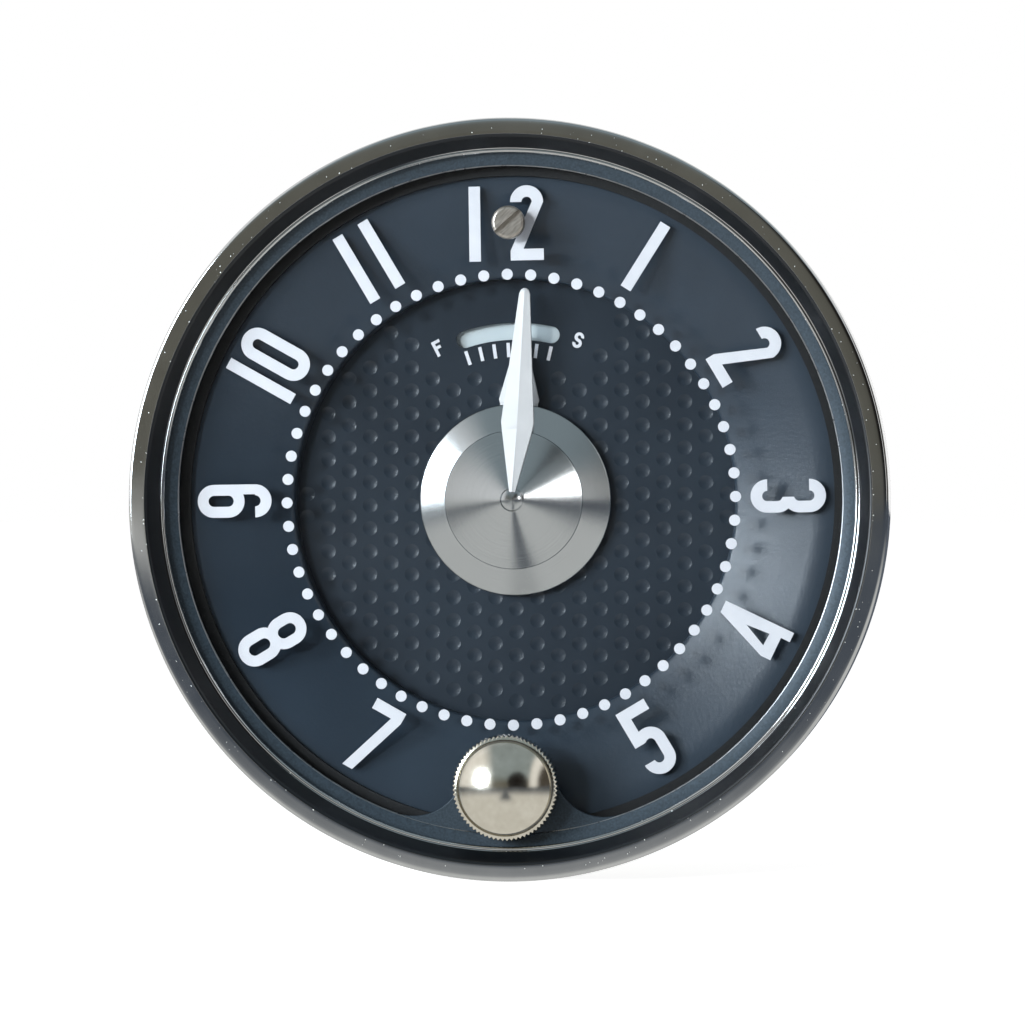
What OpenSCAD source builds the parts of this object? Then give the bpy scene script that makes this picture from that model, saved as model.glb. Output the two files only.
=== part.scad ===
// Car dashboard clock, seen from the front. The face looks along -Y, 12 o'clock is +Z.
// Each module is drawn lying on its back: the dial axis is local +Z towards the
// viewer and 12 o'clock is local +Y. place() stands it up. Local Z 0 is the panel seat.

/* [Bezel] */
// outside diameter of the chromed bezel
bezel_d = 88.9; // [80:0.1:100]
// sheet thickness of the bezel
bezel_t = 0.8; // [0.6:0.05:1]
// height of the crown above the lip
crown_h = 2.2; // [1.6:0.1:4]
// width of the rolled outer edge
edge_w = 0.85; // [0.6:0.05:1.2]
// height of the rolled outer edge
edge_h = 2; // [1:0.1:3]
// width of the front face
face_w = 1.45; // [1:0.05:3]
// fall of the front face to the rolled edge
face_fall = 0.12; // [0:0.02:0.4]
// width of the inner slope from the face to the lip
slope_w = 1.65; // [1.2:0.05:3]
// width of the rear hem
hem_w = 2.95; // [2.4:0.05:4]
// rounding of the rear outer corner
hem_r = 0.5; // [0.3:0.05:0.7]

/* [Panel seat] */
// thickness of the rubber gasket under the bezel
gasket_t = 1.2; // [0.8:0.1:2]
// width of that gasket
gasket_w = 2.8; // [2:0.1:4]
// how far the gasket stays inside the bezel edge
gasket_inset = 0.25; // [0.1:0.05:1]

/* [Lens stack] */
// thickness of the clear lens
lens_t = 1.6; // [1.2:0.1:2.2]
// how far the lens reaches under the lip
lens_grip = 0.5; // [0.3:0.05:0.8]
// thickness of the rubber seat under the lens
seat_t = 1; // [0.7:0.1:1.4]
// width of the seat under the lens
seat_w = 3; // [2:0.1:4]
// thickness of the retaining ring on the lens
retainer_t = 0.8; // [0.5:0.1:1]
// width of the retaining ring
retainer_w = 2; // [1.6:0.1:3]
// radius of the pad round the setting stem
pad_r = 5.5; // [4.5:0.1:6]
// radius of the two flares from the pad to the ring
flare_r = 6; // [4.5:0.1:7]
// thickness of the white print behind the lens
print_t = 0.12; // [0.08:0.01:0.2]

/* [Print] */
// turn of the whole print on the dial axis, in degrees
print_turn = 0.8; // [-2:0.1:2]
// space between the minute dots' circle and the numerals
dot_gap = 1.55; // [1.2:0.05:2]
// diameter of one dot
dot_d = 1.3; // [1:0.05:1.5]
// number of dots
dot_count = 60; // [12:12:60]
// numeral height
num_h = 8.8; // [8:0.1:9.2]
// numeral width
num_w = 3.9; // [3.6:0.05:4.1]
// numeral stroke
num_s = 1.35; // [1.1:0.05:1.45]
// space between the lens edge and the numerals
num_gap = 4.2; // [3.6:0.05:5]
// gap between the bars of eleven and in ten
num_pair = 3.5; // [3.3:0.05:3.8]

/* [Chapter ring] */
// sheet thickness of the black chapter ring
ring_t = 0.8; // [0.6:0.05:1]
// width of its flat land under the lens edge
land_w = 4.1; // [3.2:0.1:5]
// how far the minute dots' circle lies outside the opening
dot_over = 0.35; // [0:0.05:0.8]
// depth of the conical face
cone_depth = 3.4; // [2.8:0.1:4]
// depth from the opening edge to the dial
step_depth = 2.5; // [2:0.1:3]

/* [Dial] */
// dial plate thickness
dial_t = 0.6; // [0.4:0.05:0.8]
// how far the dial reaches under the chapter ring
dial_lap = 1.5; // [1:0.1:3]
// space between the opening edge and the middle of the regulator slot
slot_in = 6.1; // [5:0.1:7]
// height of the regulator slot
slot_h = 2; // [1.6:0.1:2.2]
// half angle of the regulator slot
slot_half = 15; // [12:0.5:17]
// turn of the dial and its scale on the posts, as photographed
dial_turn = 3; // [0:0.5:4]
// angle between scale ticks
tick_step = 5.3; // [4:0.1:5.4]
// tick length
tick_l = 1.7; // [1.2:0.1:1.9]
// tick width
tick_w = 0.4; // [0.25:0.05:0.6]
// letter height
letter_h = 1.9; // [1.5:0.1:2.2]
// letter stroke
letter_s = 0.36; // [0.25:0.02:0.45]
// angle of the letters from 12 o'clock
letter_turn = 24.3; // [23:0.1:27]

/* [Hands] */
// turn of the minute hand from 12 o'clock, in degrees
minute_turn = 3.2; // [0:0.1:6]
// turn of the hour hand from 12 o'clock, in degrees
hour_turn = 2; // [0:0.1:4]
// space between the minute hand's tip and the opening edge
minute_gap = 1.1; // [0.6:0.1:4]
// greatest width of the minute hand
minute_w = 3.9; // [3:0.1:4.4]
// space between the hour hand's tip and the opening edge
hour_gap = 6.3; // [5:0.1:9]
// greatest width of the hour hand
hour_w = 4.8; // [4:0.1:5.4]
// sheet thickness of both hands
hand_t = 0.3; // [0.2:0.02:0.4]
// height of the pressed ridge on both hands
ridge_h = 0.4; // [0.2:0.05:0.6]
// radius of the hour hub ring
hub_r = 11.35; // [10.8:0.05:11.8]
// radius of the minute cone
cap_r = 8.2; // [7.8:0.05:8.6]
// sheet thickness of the hub pieces
hub_t = 0.4; // [0.3:0.02:0.5]
// rise of the hour hub ring
hub_rise = 1.3; // [1:0.05:1.5]
// rise of the minute cone
cap_rise = 2.1; // [1.6:0.05:2.3]

/* [Setting knob] */
// radius of the knurled skirt
knob_r = 6.2; // [5.8:0.05:6.4]
// radius of the domed cap
dome_r = 5.3; // [5:0.05:5.5]
// length of the knurled skirt
skirt_l = 3; // [2.4:0.1:4]
// height of the dome
dome_h = 2.2; // [1.6:0.1:3]
// number of knurls
knurl_count = 72; // [40:2:80]
// depth of the knurls
knurl_h = 0.26; // [0.1:0.02:0.3]
// space between the lens edge and the middle of the stem
stem_in = 7.5; // [7:0.1:8.4]
// stem radius
stem_r = 1; // [0.8:0.05:1.1]
// pull of the stem to set the hands
pull = 2.4; // [2.2:0.1:2.6]

/* [Regulator] */
// radius of the slotted screw head
screw_r = 1.95; // [1.7:0.05:2.1]
// length of the screw head
screw_l = 1.2; // [0.8:0.1:1.5]
// space between the lens edge and the middle of the screw
screw_in = 8.6; // [8:0.1:9.4]
// turn of the screw slot, in degrees
screw_turn = 42; // [0:1:90]

/* [Case] */
// how far the bezel laps over the barrel
case_lap = 6.35; // [5.5:0.05:8]
// barrel sheet thickness
case_t = 0.8; // [0.6:0.05:0.9]
// space between the back plate and the rear cover
post_l = 5.6; // [5:0.1:9]
// thickness of the rear cover
cover_t = 0.8; // [0.6:0.1:1]
// lamp hole diameter
lamp_d = 14.8; // [14:0.1:15.4]
// lamp collar length
lamp_l = 3; // [2.4:0.1:4]
// distance between the mounting studs
stud_gap = 50; // [48:0.5:54]
// stud thread diameter
stud_d = 4.8; // [4:0.1:5]
// free length of the studs
stud_l = 13; // [10:0.5:20]

/* [Movement] */
// gap from the dial to the front plate
dial_gap = 9.5; // [9.4:0.05:10]
// gap between the plates
plate_gap = 15; // [14.6:0.1:15.4]
// plate thickness
plate_t = 1.5; // [1.2:0.1:1.6]
// space between the plates and the barrel
plate_gap_r = 1.3; // [0.8:0.1:3]
// wheel thickness
wheel_t = 0.8; // [0.6:0.05:0.9]
// arbor radius of the going train
arbor_r = 0.45; // [0.35:0.05:0.5]
// space between the balance rim and the pallet arbor
balance_gap = 0.45; // [0.3:0.05:1]

/* [Hidden] */
$fn = 96;

// working clearances
run = 0.05;
gap = 0.1;
eps = 0.01;

// front stack, from the panel seat forward
bezel_r = bezel_d / 2;
hem_z0 = gasket_t;
hem_z1 = hem_z0 + bezel_t;
flange_z1 = hem_z1 + case_t;
ring_z1 = flange_z1 + ring_t;
lens_z0 = ring_z1 + seat_t;
lens_z1 = lens_z0 + lens_t;
ret_z1 = lens_z1 + retainer_t;
lip_z1 = ret_z1 + bezel_t;
crown_z = lip_z1 + crown_h;
face_r = bezel_r - edge_w;
face_z = crown_z - face_fall;
crown_r = face_r - face_w;
lip_r = crown_r - slope_w;
lip_w = 0.8;
hem_in_r = bezel_r - hem_w;
wall_r = bezel_r - bezel_t;
flange_r = wall_r - 0.15;
seat_r = wall_r - 0.5;
lens_r = lip_r + lens_grip;
seat_in_r = lens_r - seat_w;
ret_in_r = lens_r - retainer_w;
gasket_r = bezel_r - gasket_inset;

// rings of print, chapter ring and dial
num_ring_r = lens_r - num_gap - num_h / 2;
dot_ring_r = num_ring_r - num_h / 2 - dot_gap;
cone_out_r = lens_r - land_w;
cone_in_r = dot_ring_r - dot_over;
dial_r = cone_in_r + dial_lap;
slot_r = cone_in_r - slot_in;
minute_l = cone_in_r - minute_gap;
hour_l = cone_in_r - hour_gap;

// dial levels
cone_z = ring_z1 - cone_depth;
dial_z = cone_z - step_depth;
dial_z0 = dial_z - dial_t;
cone_slope = cone_depth / (cone_out_r - cone_in_r);

// hands
hour_z = dial_z + 0.6;
hub_z = hour_z + hand_t;
hub_in_r = cap_r - 0.3;
hub_top = hub_z + hub_t + hub_rise;
cap_z = hub_top + 0.4;
cap_top = cap_z + hub_t + cap_rise;
cap_slope = cap_rise / cap_r;

// centre pipes
centre_r = 0.9;
cannon_in = centre_r + run;
cannon_out = 1.65;
pipe_in = cannon_out + run;
pipe_out = 2.3;
bush_in = pipe_out + 0.3;
bush_out = 4.5;
bush_flange = 6;

// setting stem
knob_z = ret_z1 + 0.9;
knob_skirt_z = knob_z + skirt_l;
bush_wall = 0.95;
bush_r = stem_r + run + bush_wall;
stem_bush_z0 = ring_z1 - ring_t - 1.6;

// motion work teeth
cannon_n = 12;
minute_n = 36;
minute_pn = 10;
hour_n = 40;
idler_n = 20;
set_n = 10;
stem_y = stem_in - lens_r;
mod_set = -2 * stem_y / (cannon_n + 2 * minute_n + 2 * idler_n + set_n);
minute_y = -mod_set * (cannon_n + minute_n) / 2;
mod_hour = -2 * minute_y / (minute_pn + hour_n);
idler_y = minute_y - mod_set * (minute_n + idler_n) / 2;
arm_z1 = dial_z0 - 0.4;
arm_t = 0.6;
hour_wheel_z = dial_z0 - 4.3;
minute_wheel_z = dial_z0 - 6.3;
cannon_z = minute_wheel_z - 0.3;
plate_z1 = dial_z0 - dial_gap;
plate_z0 = plate_z1 - plate_t;
back_z1 = plate_z0 - plate_gap;
back_z0 = back_z1 - plate_t;

// regulator teeth
reg_n = 12;
reg_sector_n = 150;
reg_y = lens_r - screw_in;
mod_reg = 2 * reg_y / (reg_n + reg_sector_n);
flag_half = slot_half + dial_turn + 11;

// case
case_r = bezel_r - case_lap;
case_in = case_r - case_t;
case_z0 = back_z0 - post_l;
plate_r = case_in - plate_gap_r;

// the movement is drawn for this plate radius and follows the real one
drawn_r = 36;
u = plate_r / drawn_r;

// rear cover and frame
cover_z0 = case_z0 - cover_t;
lamp_r = lamp_d / 2;
lamp_xy = u * [17, -19];
lamp_gap = 0.9;
stud_r = stud_d / 2;
tail_r = stud_r - 0.5;
nut_t = 2.4;
nut_r = stud_r * 1.75;
terminal_xy = u * [-11, 19];
pillar_xy = u * [[24.1, 20.2], [-24.1, 20.2], [-30, -9], [11, -29.6]];
pillar_r = 2;
post_xy = u * [[0, 29], [-27, -16], [29, -13]];
post_r = 2;
screw_d = 2.4;
foot_xy = u * [[20.5, 7.5], [-20.5, 7.5], [20.5, -7.5], [-20.5, -7.5]];
foot_r = 1.4;

// going train teeth and places
mod_c = u * 0.35;
mod_3 = u * 0.32;
mod_4 = u * 0.25;
leaf_n = 8;
centre_n = 64;
third_n = 60;
fourth_n = 80;
escape_n = 15;
escape_r = u * 4.5;
d_ct = mod_c * (centre_n + leaf_n) / 2;
d_tf = mod_3 * (third_n + leaf_n) / 2;
d_fe = mod_4 * (fourth_n + leaf_n) / 2;
third_turn = 150;
fourth_turn = 60;
third_xy = d_ct * [cos(third_turn), sin(third_turn)];
fourth_xy = third_xy + d_tf * [cos(fourth_turn), sin(fourth_turn)];
escape_xy = fourth_xy + [d_fe, 0];
pallet_xy = escape_xy + u * [6.4, -1];
balance_xy = u * [19, 10];
balance_r = norm(balance_xy - pallet_xy) - arbor_r - balance_gap;
centre_wheel_z = plate_z0 - 2.5;
third_wheel_z = plate_z0 - 5.5;
fourth_wheel_z = plate_z0 - 8.5;
escape_wheel_z = plate_z0 - 12.1;
balance_z = plate_z0 - 8.1;
spiral_z = plate_z0 - 4.9;
ratchet_z = plate_z0 - 10.9;

// rewind magnet
coil_xy = u * [-16.5, -16.5];
coil_l = 12;
coil_r = 5.6;
core_r = 2.4;
arm_t_m = 2.4;
arm_xy = u * [1.5, -16.5];
magnet_z = plate_z0 - plate_gap / 2;

// stands a piece drawn on its back upright, face to -Y
module place() {
  rotate([90, 0, 0]) children();
}

// points of a circular arc
function arc(c, r, a0, a1, n) = [for (i = [0:n]) let (a = a0 + (a1 - a0) * i / n)
  c + r * [cos(a), sin(a)]];

// points of an elliptic arc
function oval(c, rx, ry, a0, a1, n) = [for (i = [0:n]) let (a = a0 + (a1 - a0) * i / n)
  c + [rx * cos(a), ry * sin(a)]];

// tooth outline of one clock wheel, tooth centre at angle th
add_k = 0.7;
ded_k = 1;
tip_k = 0.5;
thick_k = 0.85;
function gear_pts(n, m, th) = let (rp = m * n / 2, hp = 90 / n * thick_k, ht = hp * tip_k,
  hr = hp + (hp - ht) * ded_k / add_k * 0.45)
  [for (k = [0:n - 1]) for (q = [[-hr, rp - ded_k * m], [-hp, rp], [-ht, rp + add_k * m],
    [ht, rp + add_k * m], [hp, rp], [hr, rp - ded_k * m]])
    let (a = th + k * 360 / n + q[0]) q[1] * [cos(a), sin(a)]];

// tooth angle of a wheel b that meshes with wheel a in direction phi
function mesh_turn(na, tha, nb, phi) = phi + 180 - 360 / nb * (0.5 - na * (phi - tha) / 360);

// phases of the meshing wheels
cannon_th = -90;
minute_th = mesh_turn(cannon_n, cannon_th, minute_n, -90);
hour_th = mesh_turn(minute_pn, minute_th, hour_n, 90);
idler_th = mesh_turn(minute_n, minute_th, idler_n, -90);
set_th = mesh_turn(idler_n, idler_th, set_n, -90);
centre_th = third_turn;
third_th = mesh_turn(centre_n, centre_th, leaf_n, third_turn);
fourth_th = mesh_turn(third_n, third_th, leaf_n, fourth_turn);
escape_th = mesh_turn(fourth_n, fourth_th, leaf_n, 0);
sector_th = 90;
reg_th = mesh_turn(reg_sector_n, sector_th, reg_n, 90);

// flat ring, solid from z0 to z1
module tube(r0, r1, z0, z1) {
  translate([0, 0, z0]) linear_extrude(z1 - z0) difference() {
    circle(r1);
    circle(r0);
  }
}

// solid disc from z0 to z1
module rod(r, z0, z1) {
  translate([0, 0, z0]) cylinder(r = r, h = z1 - z0);
}

// toothed wheel with a bore
module wheel(n, m, th, bore, z0, t) {
  translate([0, 0, z0]) linear_extrude(t) difference() {
    polygon(gear_pts(n, m, th));
    circle(bore);
  }
}

// solid pinion from z0, length t
module leaf(n, m, th, z0, t) {
  translate([0, 0, z0]) linear_extrude(t) polygon(gear_pts(n, m, th));
}

// slotted round screw head, standing on z0 towards +Z
module slot_head(r, h, turn) {
  difference() {
    cylinder(r = r, h = h);
    rotate([0, 0, turn]) translate([-r - 1, -r * 0.15, h * 0.5]) cube([2 * r + 2, r * 0.3, h]);
  }
}

// wire coil along Z from z0 to z1
module coil(r, wire_r, z0, z1, turns) {
  per = 12;
  sides = 6;
  n = turns * per;
  pts = [for (i = [0:n]) let (a = 360 * i / per, z = z0 + (z1 - z0) * i / n)
    for (s = [0:sides - 1]) let (b = 360 * s / sides, q = r + wire_r * cos(b))
      [q * cos(a), q * sin(a), z + wire_r * sin(b)]];
  side = [for (i = [0:n - 1]) for (s = [0:sides - 1]) let (t = (s + 1) % sides)
    [i * sides + s, (i + 1) * sides + s, (i + 1) * sides + t, i * sides + t]];
  ends = [[for (s = [0:sides - 1]) s], [for (s = [sides - 1:-1:0]) n * sides + s]];
  polyhedron(points = pts, faces = concat(side, ends));
}

// rolled bezel: hem, side wall, rolled edge, flat face, inner slope and lip
module bezel() {
  edge_z = face_z - edge_h;
  lip_in = lip_r + lip_w;
  out = concat([[hem_in_r, hem_z0]],
    arc([bezel_r - hem_r, hem_z0 + hem_r], hem_r, -90, 0, 4),
    oval([face_r, edge_z], edge_w, edge_h, 0, 90, 8),
    [[crown_r + 0.2, crown_z], [crown_r, crown_z - 0.08], [crown_r - 0.15, crown_z - 0.35]],
    [[lip_r + 0.15, lip_z1 + 0.05], [lip_r, lip_z1 - 0.2], [lip_r, ret_z1]]);
  in = [[lip_in, ret_z1], [lip_in, lip_z1 - 0.2], [crown_r + 0.5, crown_z - bezel_t],
    [face_r, face_z - bezel_t], [wall_r, edge_z], [wall_r, hem_z1], [hem_in_r, hem_z1]];
  color([0.8, 0.8, 0.8]) place() rotate_extrude() polygon(concat(out, in));
}

// flat rubber ring between the bezel and the panel
module panel_gasket() {
  color([0.1, 0.1, 0.1]) place() tube(gasket_r - gasket_w, gasket_r, 0, gasket_t);
}

// outline of the pad round the stem with its two flares
module pad_2d(r_in) {
  dy = -stem_y;
  a = pad_r + flare_r;
  b = r_in - flare_r;
  fy = (a * a - b * b - dy * dy) / (2 * dy);
  fx = sqrt(b * b - fy * fy);
  k = 2 * r_in / b;
  difference() {
    union() {
      translate([0, stem_y]) circle(pad_r);
      intersection() {
        circle(r_in + retainer_w / 4);
        polygon([[0, stem_y], [fx, fy], k * [fx, fy], [0, -2 * r_in], k * [-fx, fy], [-fx, fy]]);
      }
    }
    translate([fx, fy]) circle(flare_r);
    translate([-fx, fy]) circle(flare_r);
  }
}

// satin ring that clamps the lens, widened round the stem
module lens_retainer() {
  color([0.25, 0.28, 0.3]) place() translate([0, 0, lens_z1]) linear_extrude(retainer_t)
    difference() {
      union() {
        difference() {
          circle(lens_r);
          circle(ret_in_r);
        }
        pad_2d(ret_in_r + eps);
      }
      translate([0, stem_y]) circle(bush_r + gap);
    }
}

// clear lens with holes for the stem and the regulator screw
module lens() {
  color([0.8, 0.9, 0.95, 0.3]) place() translate([0, 0, lens_z0]) linear_extrude(lens_t)
    difference() {
      circle(lens_r);
      translate([0, stem_y]) circle(bush_r + gap);
      translate([0, reg_y]) circle(stem_r + gap);
    }
}

// rubber seat of L section round the lens
module lens_seat() {
  color([0.08, 0.08, 0.08]) place() rotate_extrude() polygon([[seat_in_r, ring_z1],
    [seat_r, ring_z1], [seat_r, ret_z1 - gap], [lens_r + gap, ret_z1 - gap],
    [lens_r + gap, lens_z0], [seat_in_r, lens_z0]]);
}

// rounded slot outline of height h and width w
module stadium(w, h) {
  translate([0, h / 2 - w / 2]) circle(w / 2);
  translate([0, w / 2 - h / 2]) circle(w / 2);
  square([w, h - w], center = true);
}

// closed loop of stroke t
module loop(w, h, t) {
  difference() {
    stadium(w, h);
    stadium(w - 2 * t, h - 2 * t);
  }
}

// plain bar, the figure one
module fig_1() {
  square([num_s, num_h], center = true);
}

// figure two: hook, slanting stroke and foot
module fig_2() {
  yc = num_h / 2 - num_w / 2;
  difference() {
    translate([0, yc]) circle(num_w / 2);
    translate([0, yc]) circle(num_w / 2 - num_s);
    translate([-num_w, yc - num_w]) square([2 * num_w, num_w]);
  }
  polygon([[num_w / 2, yc], [num_w / 2 - num_s, yc], [-num_w / 2, num_s * 0.85 - num_h / 2],
    [-num_w / 2, -num_h / 2], [num_w / 2, -num_h / 2], [num_w / 2, num_s - num_h / 2],
    [num_s * 1.12 - num_w / 2, num_s - num_h / 2]]);
}

// figure three: two bowls open at the left, with a short middle stub
module fig_3() {
  h = (num_h + num_s) / 2;
  hook_y = num_h / 2 - num_w / 2;
  difference() {
    union() {
      translate([0, (num_h - h) / 2]) loop(num_w, h, num_s);
      translate([0, (h - num_h) / 2]) loop(num_w, h, num_s);
    }
    translate([-num_w, -hook_y]) square([num_w * 1.03, 2 * hook_y]);
  }
}

// figure four: blunt top, slope, cross bar and post, with a small counter
module fig_4() {
  right = num_w * 0.58;
  post = num_w * 0.28;
  left = -num_w * 0.46;
  top = num_h / 2;
  bar = -num_h * 0.37;
  difference() {
    polygon([[right, top], [right - num_s * 1.1, top], [left, -num_h * 0.23], [left, bar],
      [post, bar], [post, -top], [right, -top]]);
    polygon([[post - num_s * 0.25, num_h * 0.12], [post - num_s * 0.1, -num_h * 0.21],
      [left + num_s * 0.9, -num_h * 0.2]]);
  }
}

// figure five: top bar, upright and bowl
module fig_5() {
  bowl_h = num_h * 0.66;
  translate([0, num_h / 2 - num_s / 2]) square([num_w * 0.98, num_s], center = true);
  translate([-num_w * 0.49, num_h / 2 - num_h * 0.52]) square([num_s, num_h * 0.52]);
  difference() {
    translate([0, (bowl_h - num_h) / 2]) loop(num_w, bowl_h, num_s);
    translate([-num_w, num_w / 2 - num_h / 2])
      square([num_w * 0.86, bowl_h - num_w / 2 - num_s * 1.12]);
    translate([-num_w, num_w / 2 - num_h / 2]) square([num_w, num_h * 0.26]);
  }
}

// figure seven: top bar and slanting leg
module fig_7() {
  polygon([[-num_w / 2, num_h / 2], [num_w / 2, num_h / 2], [num_w / 2, num_h / 2 - num_s],
    [-num_s * 0.38, -num_h / 2], [-num_s * 1.36, -num_h / 2],
    [num_w / 2 - num_s * 0.98, num_h / 2 - num_s], [-num_w / 2, num_h / 2 - num_s]]);
}

// figure eight: two closed bowls, the upper one smaller
module fig_8() {
  t = num_s * 0.94;
  top_h = num_h * 0.545;
  low_h = num_h + t - top_h;
  translate([0, (num_h - top_h) / 2]) loop(num_w, top_h, t);
  translate([0, (low_h - num_h) / 2]) loop(num_w, low_h, t);
}

// figure nine: closed bowl, back and hook
module fig_9() {
  t = num_s * 0.96;
  bowl_h = num_h * 0.635;
  translate([0, (num_h - bowl_h) / 2]) loop(num_w, bowl_h, t);
  difference() {
    loop(num_w, num_h, t);
    translate([-num_w, num_w / 2 - num_h / 2]) square([num_w * 1.2, num_h]);
  }
}

// figure nought
module fig_0() {
  loop(num_w, num_h, num_s);
}

// sets a numeral at an hour, top outward, or inward when flip is 1, with its own shift and turn
module at_hour(h, flip, shift = [0, 0], turn = 0) {
  rotate([0, 0, -30 * h]) translate([0, num_ring_r]) rotate([0, 0, 180 * flip])
    translate(shift) rotate([0, 0, turn]) children();
}

// white hour numerals printed on the back of the lens
module numerals() {
  color([0.93, 0.94, 0.96]) place() translate([0, 0, lens_z0 - print_t])
    linear_extrude(print_t) difference() {
      rotate([0, 0, print_turn]) {
        at_hour(0, 0, [-3.75, 0]) fig_1();
        at_hour(0, 0, [2.4, 0.05]) fig_2();
        at_hour(1, 0, [0, 0.2], -3) fig_1();
        at_hour(2, 0, [-0.4, 0.1]) fig_2();
        at_hour(3, 0, [0, 0.2]) fig_3();
        at_hour(4, 1, [0.1, 0], 3.8) fig_4();
        at_hour(5, 1, [-0.38, 0]) fig_5();
        at_hour(7, 1, [-0.38, 0]) fig_7();
        at_hour(8, 1, [-0.3, -0.25]) fig_8();
        at_hour(9, 0, [0.3, 0.3]) fig_9();
        at_hour(10, 0, [-num_pair / 2 - 0.45, 0.25]) fig_1();
        at_hour(10, 0, [num_pair / 2 - 0.35, 0.25]) fig_0();
        at_hour(11, 0, [-num_pair / 2, 0.25]) fig_1();
        at_hour(11, 0, [num_pair / 2 - 0.05, 0.25]) fig_1();
      }
      translate([0, reg_y]) circle(stem_r + gap);
    }
}

// ring of white minute dots printed on the back of the lens
module minute_dots() {
  color([0.93, 0.94, 0.96]) place() translate([0, 0, lens_z0 - print_t])
    linear_extrude(print_t) for (i = [0:dot_count - 1])
      rotate([0, 0, print_turn + 360 * i / dot_count]) translate([0, dot_ring_r])
        circle(dot_d / 2);
}

// black ring with a flat flange, a conical face and a rim down to the dial
module chapter_ring() {
  drop = ring_t * sqrt(1 + cone_slope * cone_slope);
  under_r = cone_out_r - (drop - ring_t) / cone_slope;
  rim_r = cone_in_r + ring_t;
  color([0.12, 0.13, 0.15]) place() difference() {
    rotate_extrude() polygon([[flange_r, flange_z1], [flange_r, ring_z1], [cone_out_r, ring_z1],
      [cone_in_r, cone_z], [cone_in_r, dial_z], [rim_r, dial_z],
      [rim_r, cone_z + ring_t * cone_slope - drop], [under_r, flange_z1]]);
    translate([0, stem_y, stem_bush_z0 - 1]) cylinder(r = bush_r + gap, h = ring_z1);
    translate([0, reg_y, cone_z - 1]) cylinder(r = stem_r + run, h = ring_z1);
  }
}

// outline of the regulator slot, a curved slot with round ends
module slot_2d() {
  n = 24;
  r = slot_h / 2;
  right = 90 - slot_half;
  left = 90 + slot_half;
  polygon(concat(arc([0, 0], slot_r + r, left, right, n),
    arc(slot_r * [cos(right), sin(right)], r, right - 15, right - 165, 10),
    arc([0, 0], slot_r - r, right, left, n),
    arc(slot_r * [cos(left), sin(left)], r, left + 165, left + 15, 10)));
}

// black dial plate with the regulator slot
module dial_plate() {
  color([0.15, 0.16, 0.18]) place() translate([0, 0, dial_z0]) linear_extrude(dial_t)
    difference() {
      circle(dial_r);
      circle(bush_out + run);
      rotate([0, 0, dial_turn]) slot_2d();
    }
}

// letter F, centred
module letter_f() {
  w = letter_h * 0.55;
  translate([-w / 2, -letter_h / 2]) square([letter_s, letter_h]);
  translate([-w / 2, letter_h / 2 - letter_s]) square([w, letter_s]);
  translate([-w / 2, -letter_s / 4]) square([w * 0.85, letter_s]);
}

// letter S, centred
module letter_s_2d() {
  r = (letter_h + letter_s) / 4;
  for (s = [0, 1]) rotate([0, 0, 180 * s]) translate([0, letter_h / 2 - r]) difference() {
    circle(r);
    circle(r - letter_s);
    rotate([0, 0, -90]) square(r + 1);
  }
}

// white regulator scale printed on the dial
module scale_print() {
  tick_r = slot_r - slot_h / 2 - 0.35;
  color([0.93, 0.94, 0.96]) place() translate([0, 0, dial_z]) linear_extrude(print_t)
    rotate([0, 0, dial_turn]) {
      for (i = [-3:3]) rotate([0, 0, i * tick_step]) translate([-tick_w / 2, tick_r - tick_l])
        square([tick_w, tick_l]);
      rotate([0, 0, letter_turn]) translate([0, slot_r + 0.3]) letter_f();
      rotate([0, 0, -letter_turn]) translate([0, slot_r + 0.3]) letter_s_2d();
    }
}

// bush riveted in the dial, pivot of the regulator arm
module dial_bush() {
  color([0.75, 0.6, 0.3]) place() {
    tube(bush_in, bush_out, arm_z1 - arm_t - gap, dial_z);
    tube(bush_in, bush_flange, arm_z1 - arm_t - 0.8, arm_z1 - arm_t - gap);
  }
}

// four posts that carry the dial on the front plate
module dial_posts() {
  color([0.75, 0.6, 0.3]) place() for (p = foot_xy) translate([p[0], p[1], 0])
    rod(foot_r, plate_z1, dial_z0);
}

// barrel with its front flange
module case_barrel() {
  color([0.55, 0.56, 0.55]) place() rotate_extrude() polygon([[case_in, case_z0],
    [case_r, case_z0], [case_r, hem_z1], [flange_r, hem_z1], [flange_r, flange_z1],
    [case_in, flange_z1]]);
}

// rear cover with its skirt, lamp collar and holes
module rear_cover() {
  color([0.55, 0.56, 0.55]) place() difference() {
    union() {
      rod(case_r - 0.2, cover_z0, case_z0);
      tube(case_in - gap - case_t, case_in - gap, case_z0 - eps, case_z0 + 2.6);
      translate(lamp_xy) rod(lamp_r + case_t, case_z0 - lamp_l, case_z0);
    }
    translate(lamp_xy) rod(lamp_r, case_z0 - lamp_l - 1, case_z0 + 1);
    for (p = post_xy) translate(p) rod(screw_d / 2 + gap, cover_z0 - 1, case_z0 + 1);
    for (s = [-1, 1]) translate([s * stud_gap / 2, 0]) rod(tail_r + gap, cover_z0 - 1, case_z0 + 1);
    translate(terminal_xy) rod(3.2, cover_z0 - 1, case_z0 + 1);
  }
}

// three slotted screws through the cover into the posts
module cover_screws() {
  color([0.7, 0.7, 0.7]) place() for (p = post_xy) translate([p[0], p[1], cover_z0])
    mirror([0, 0, 1]) {
      slot_head(screw_d, 1.5, 30);
      translate([0, 0, -3 - cover_t]) cylinder(r = screw_d / 2, h = 3 + cover_t);
    }
}

// three posts from the back plate to the cover
module cover_posts() {
  color([0.75, 0.6, 0.3]) place() for (p = post_xy) translate(p) difference() {
    rod(post_r, case_z0, back_z0);
    rod(screw_d / 2 + gap, case_z0 - 1, case_z0 + 4);
  }
}

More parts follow.
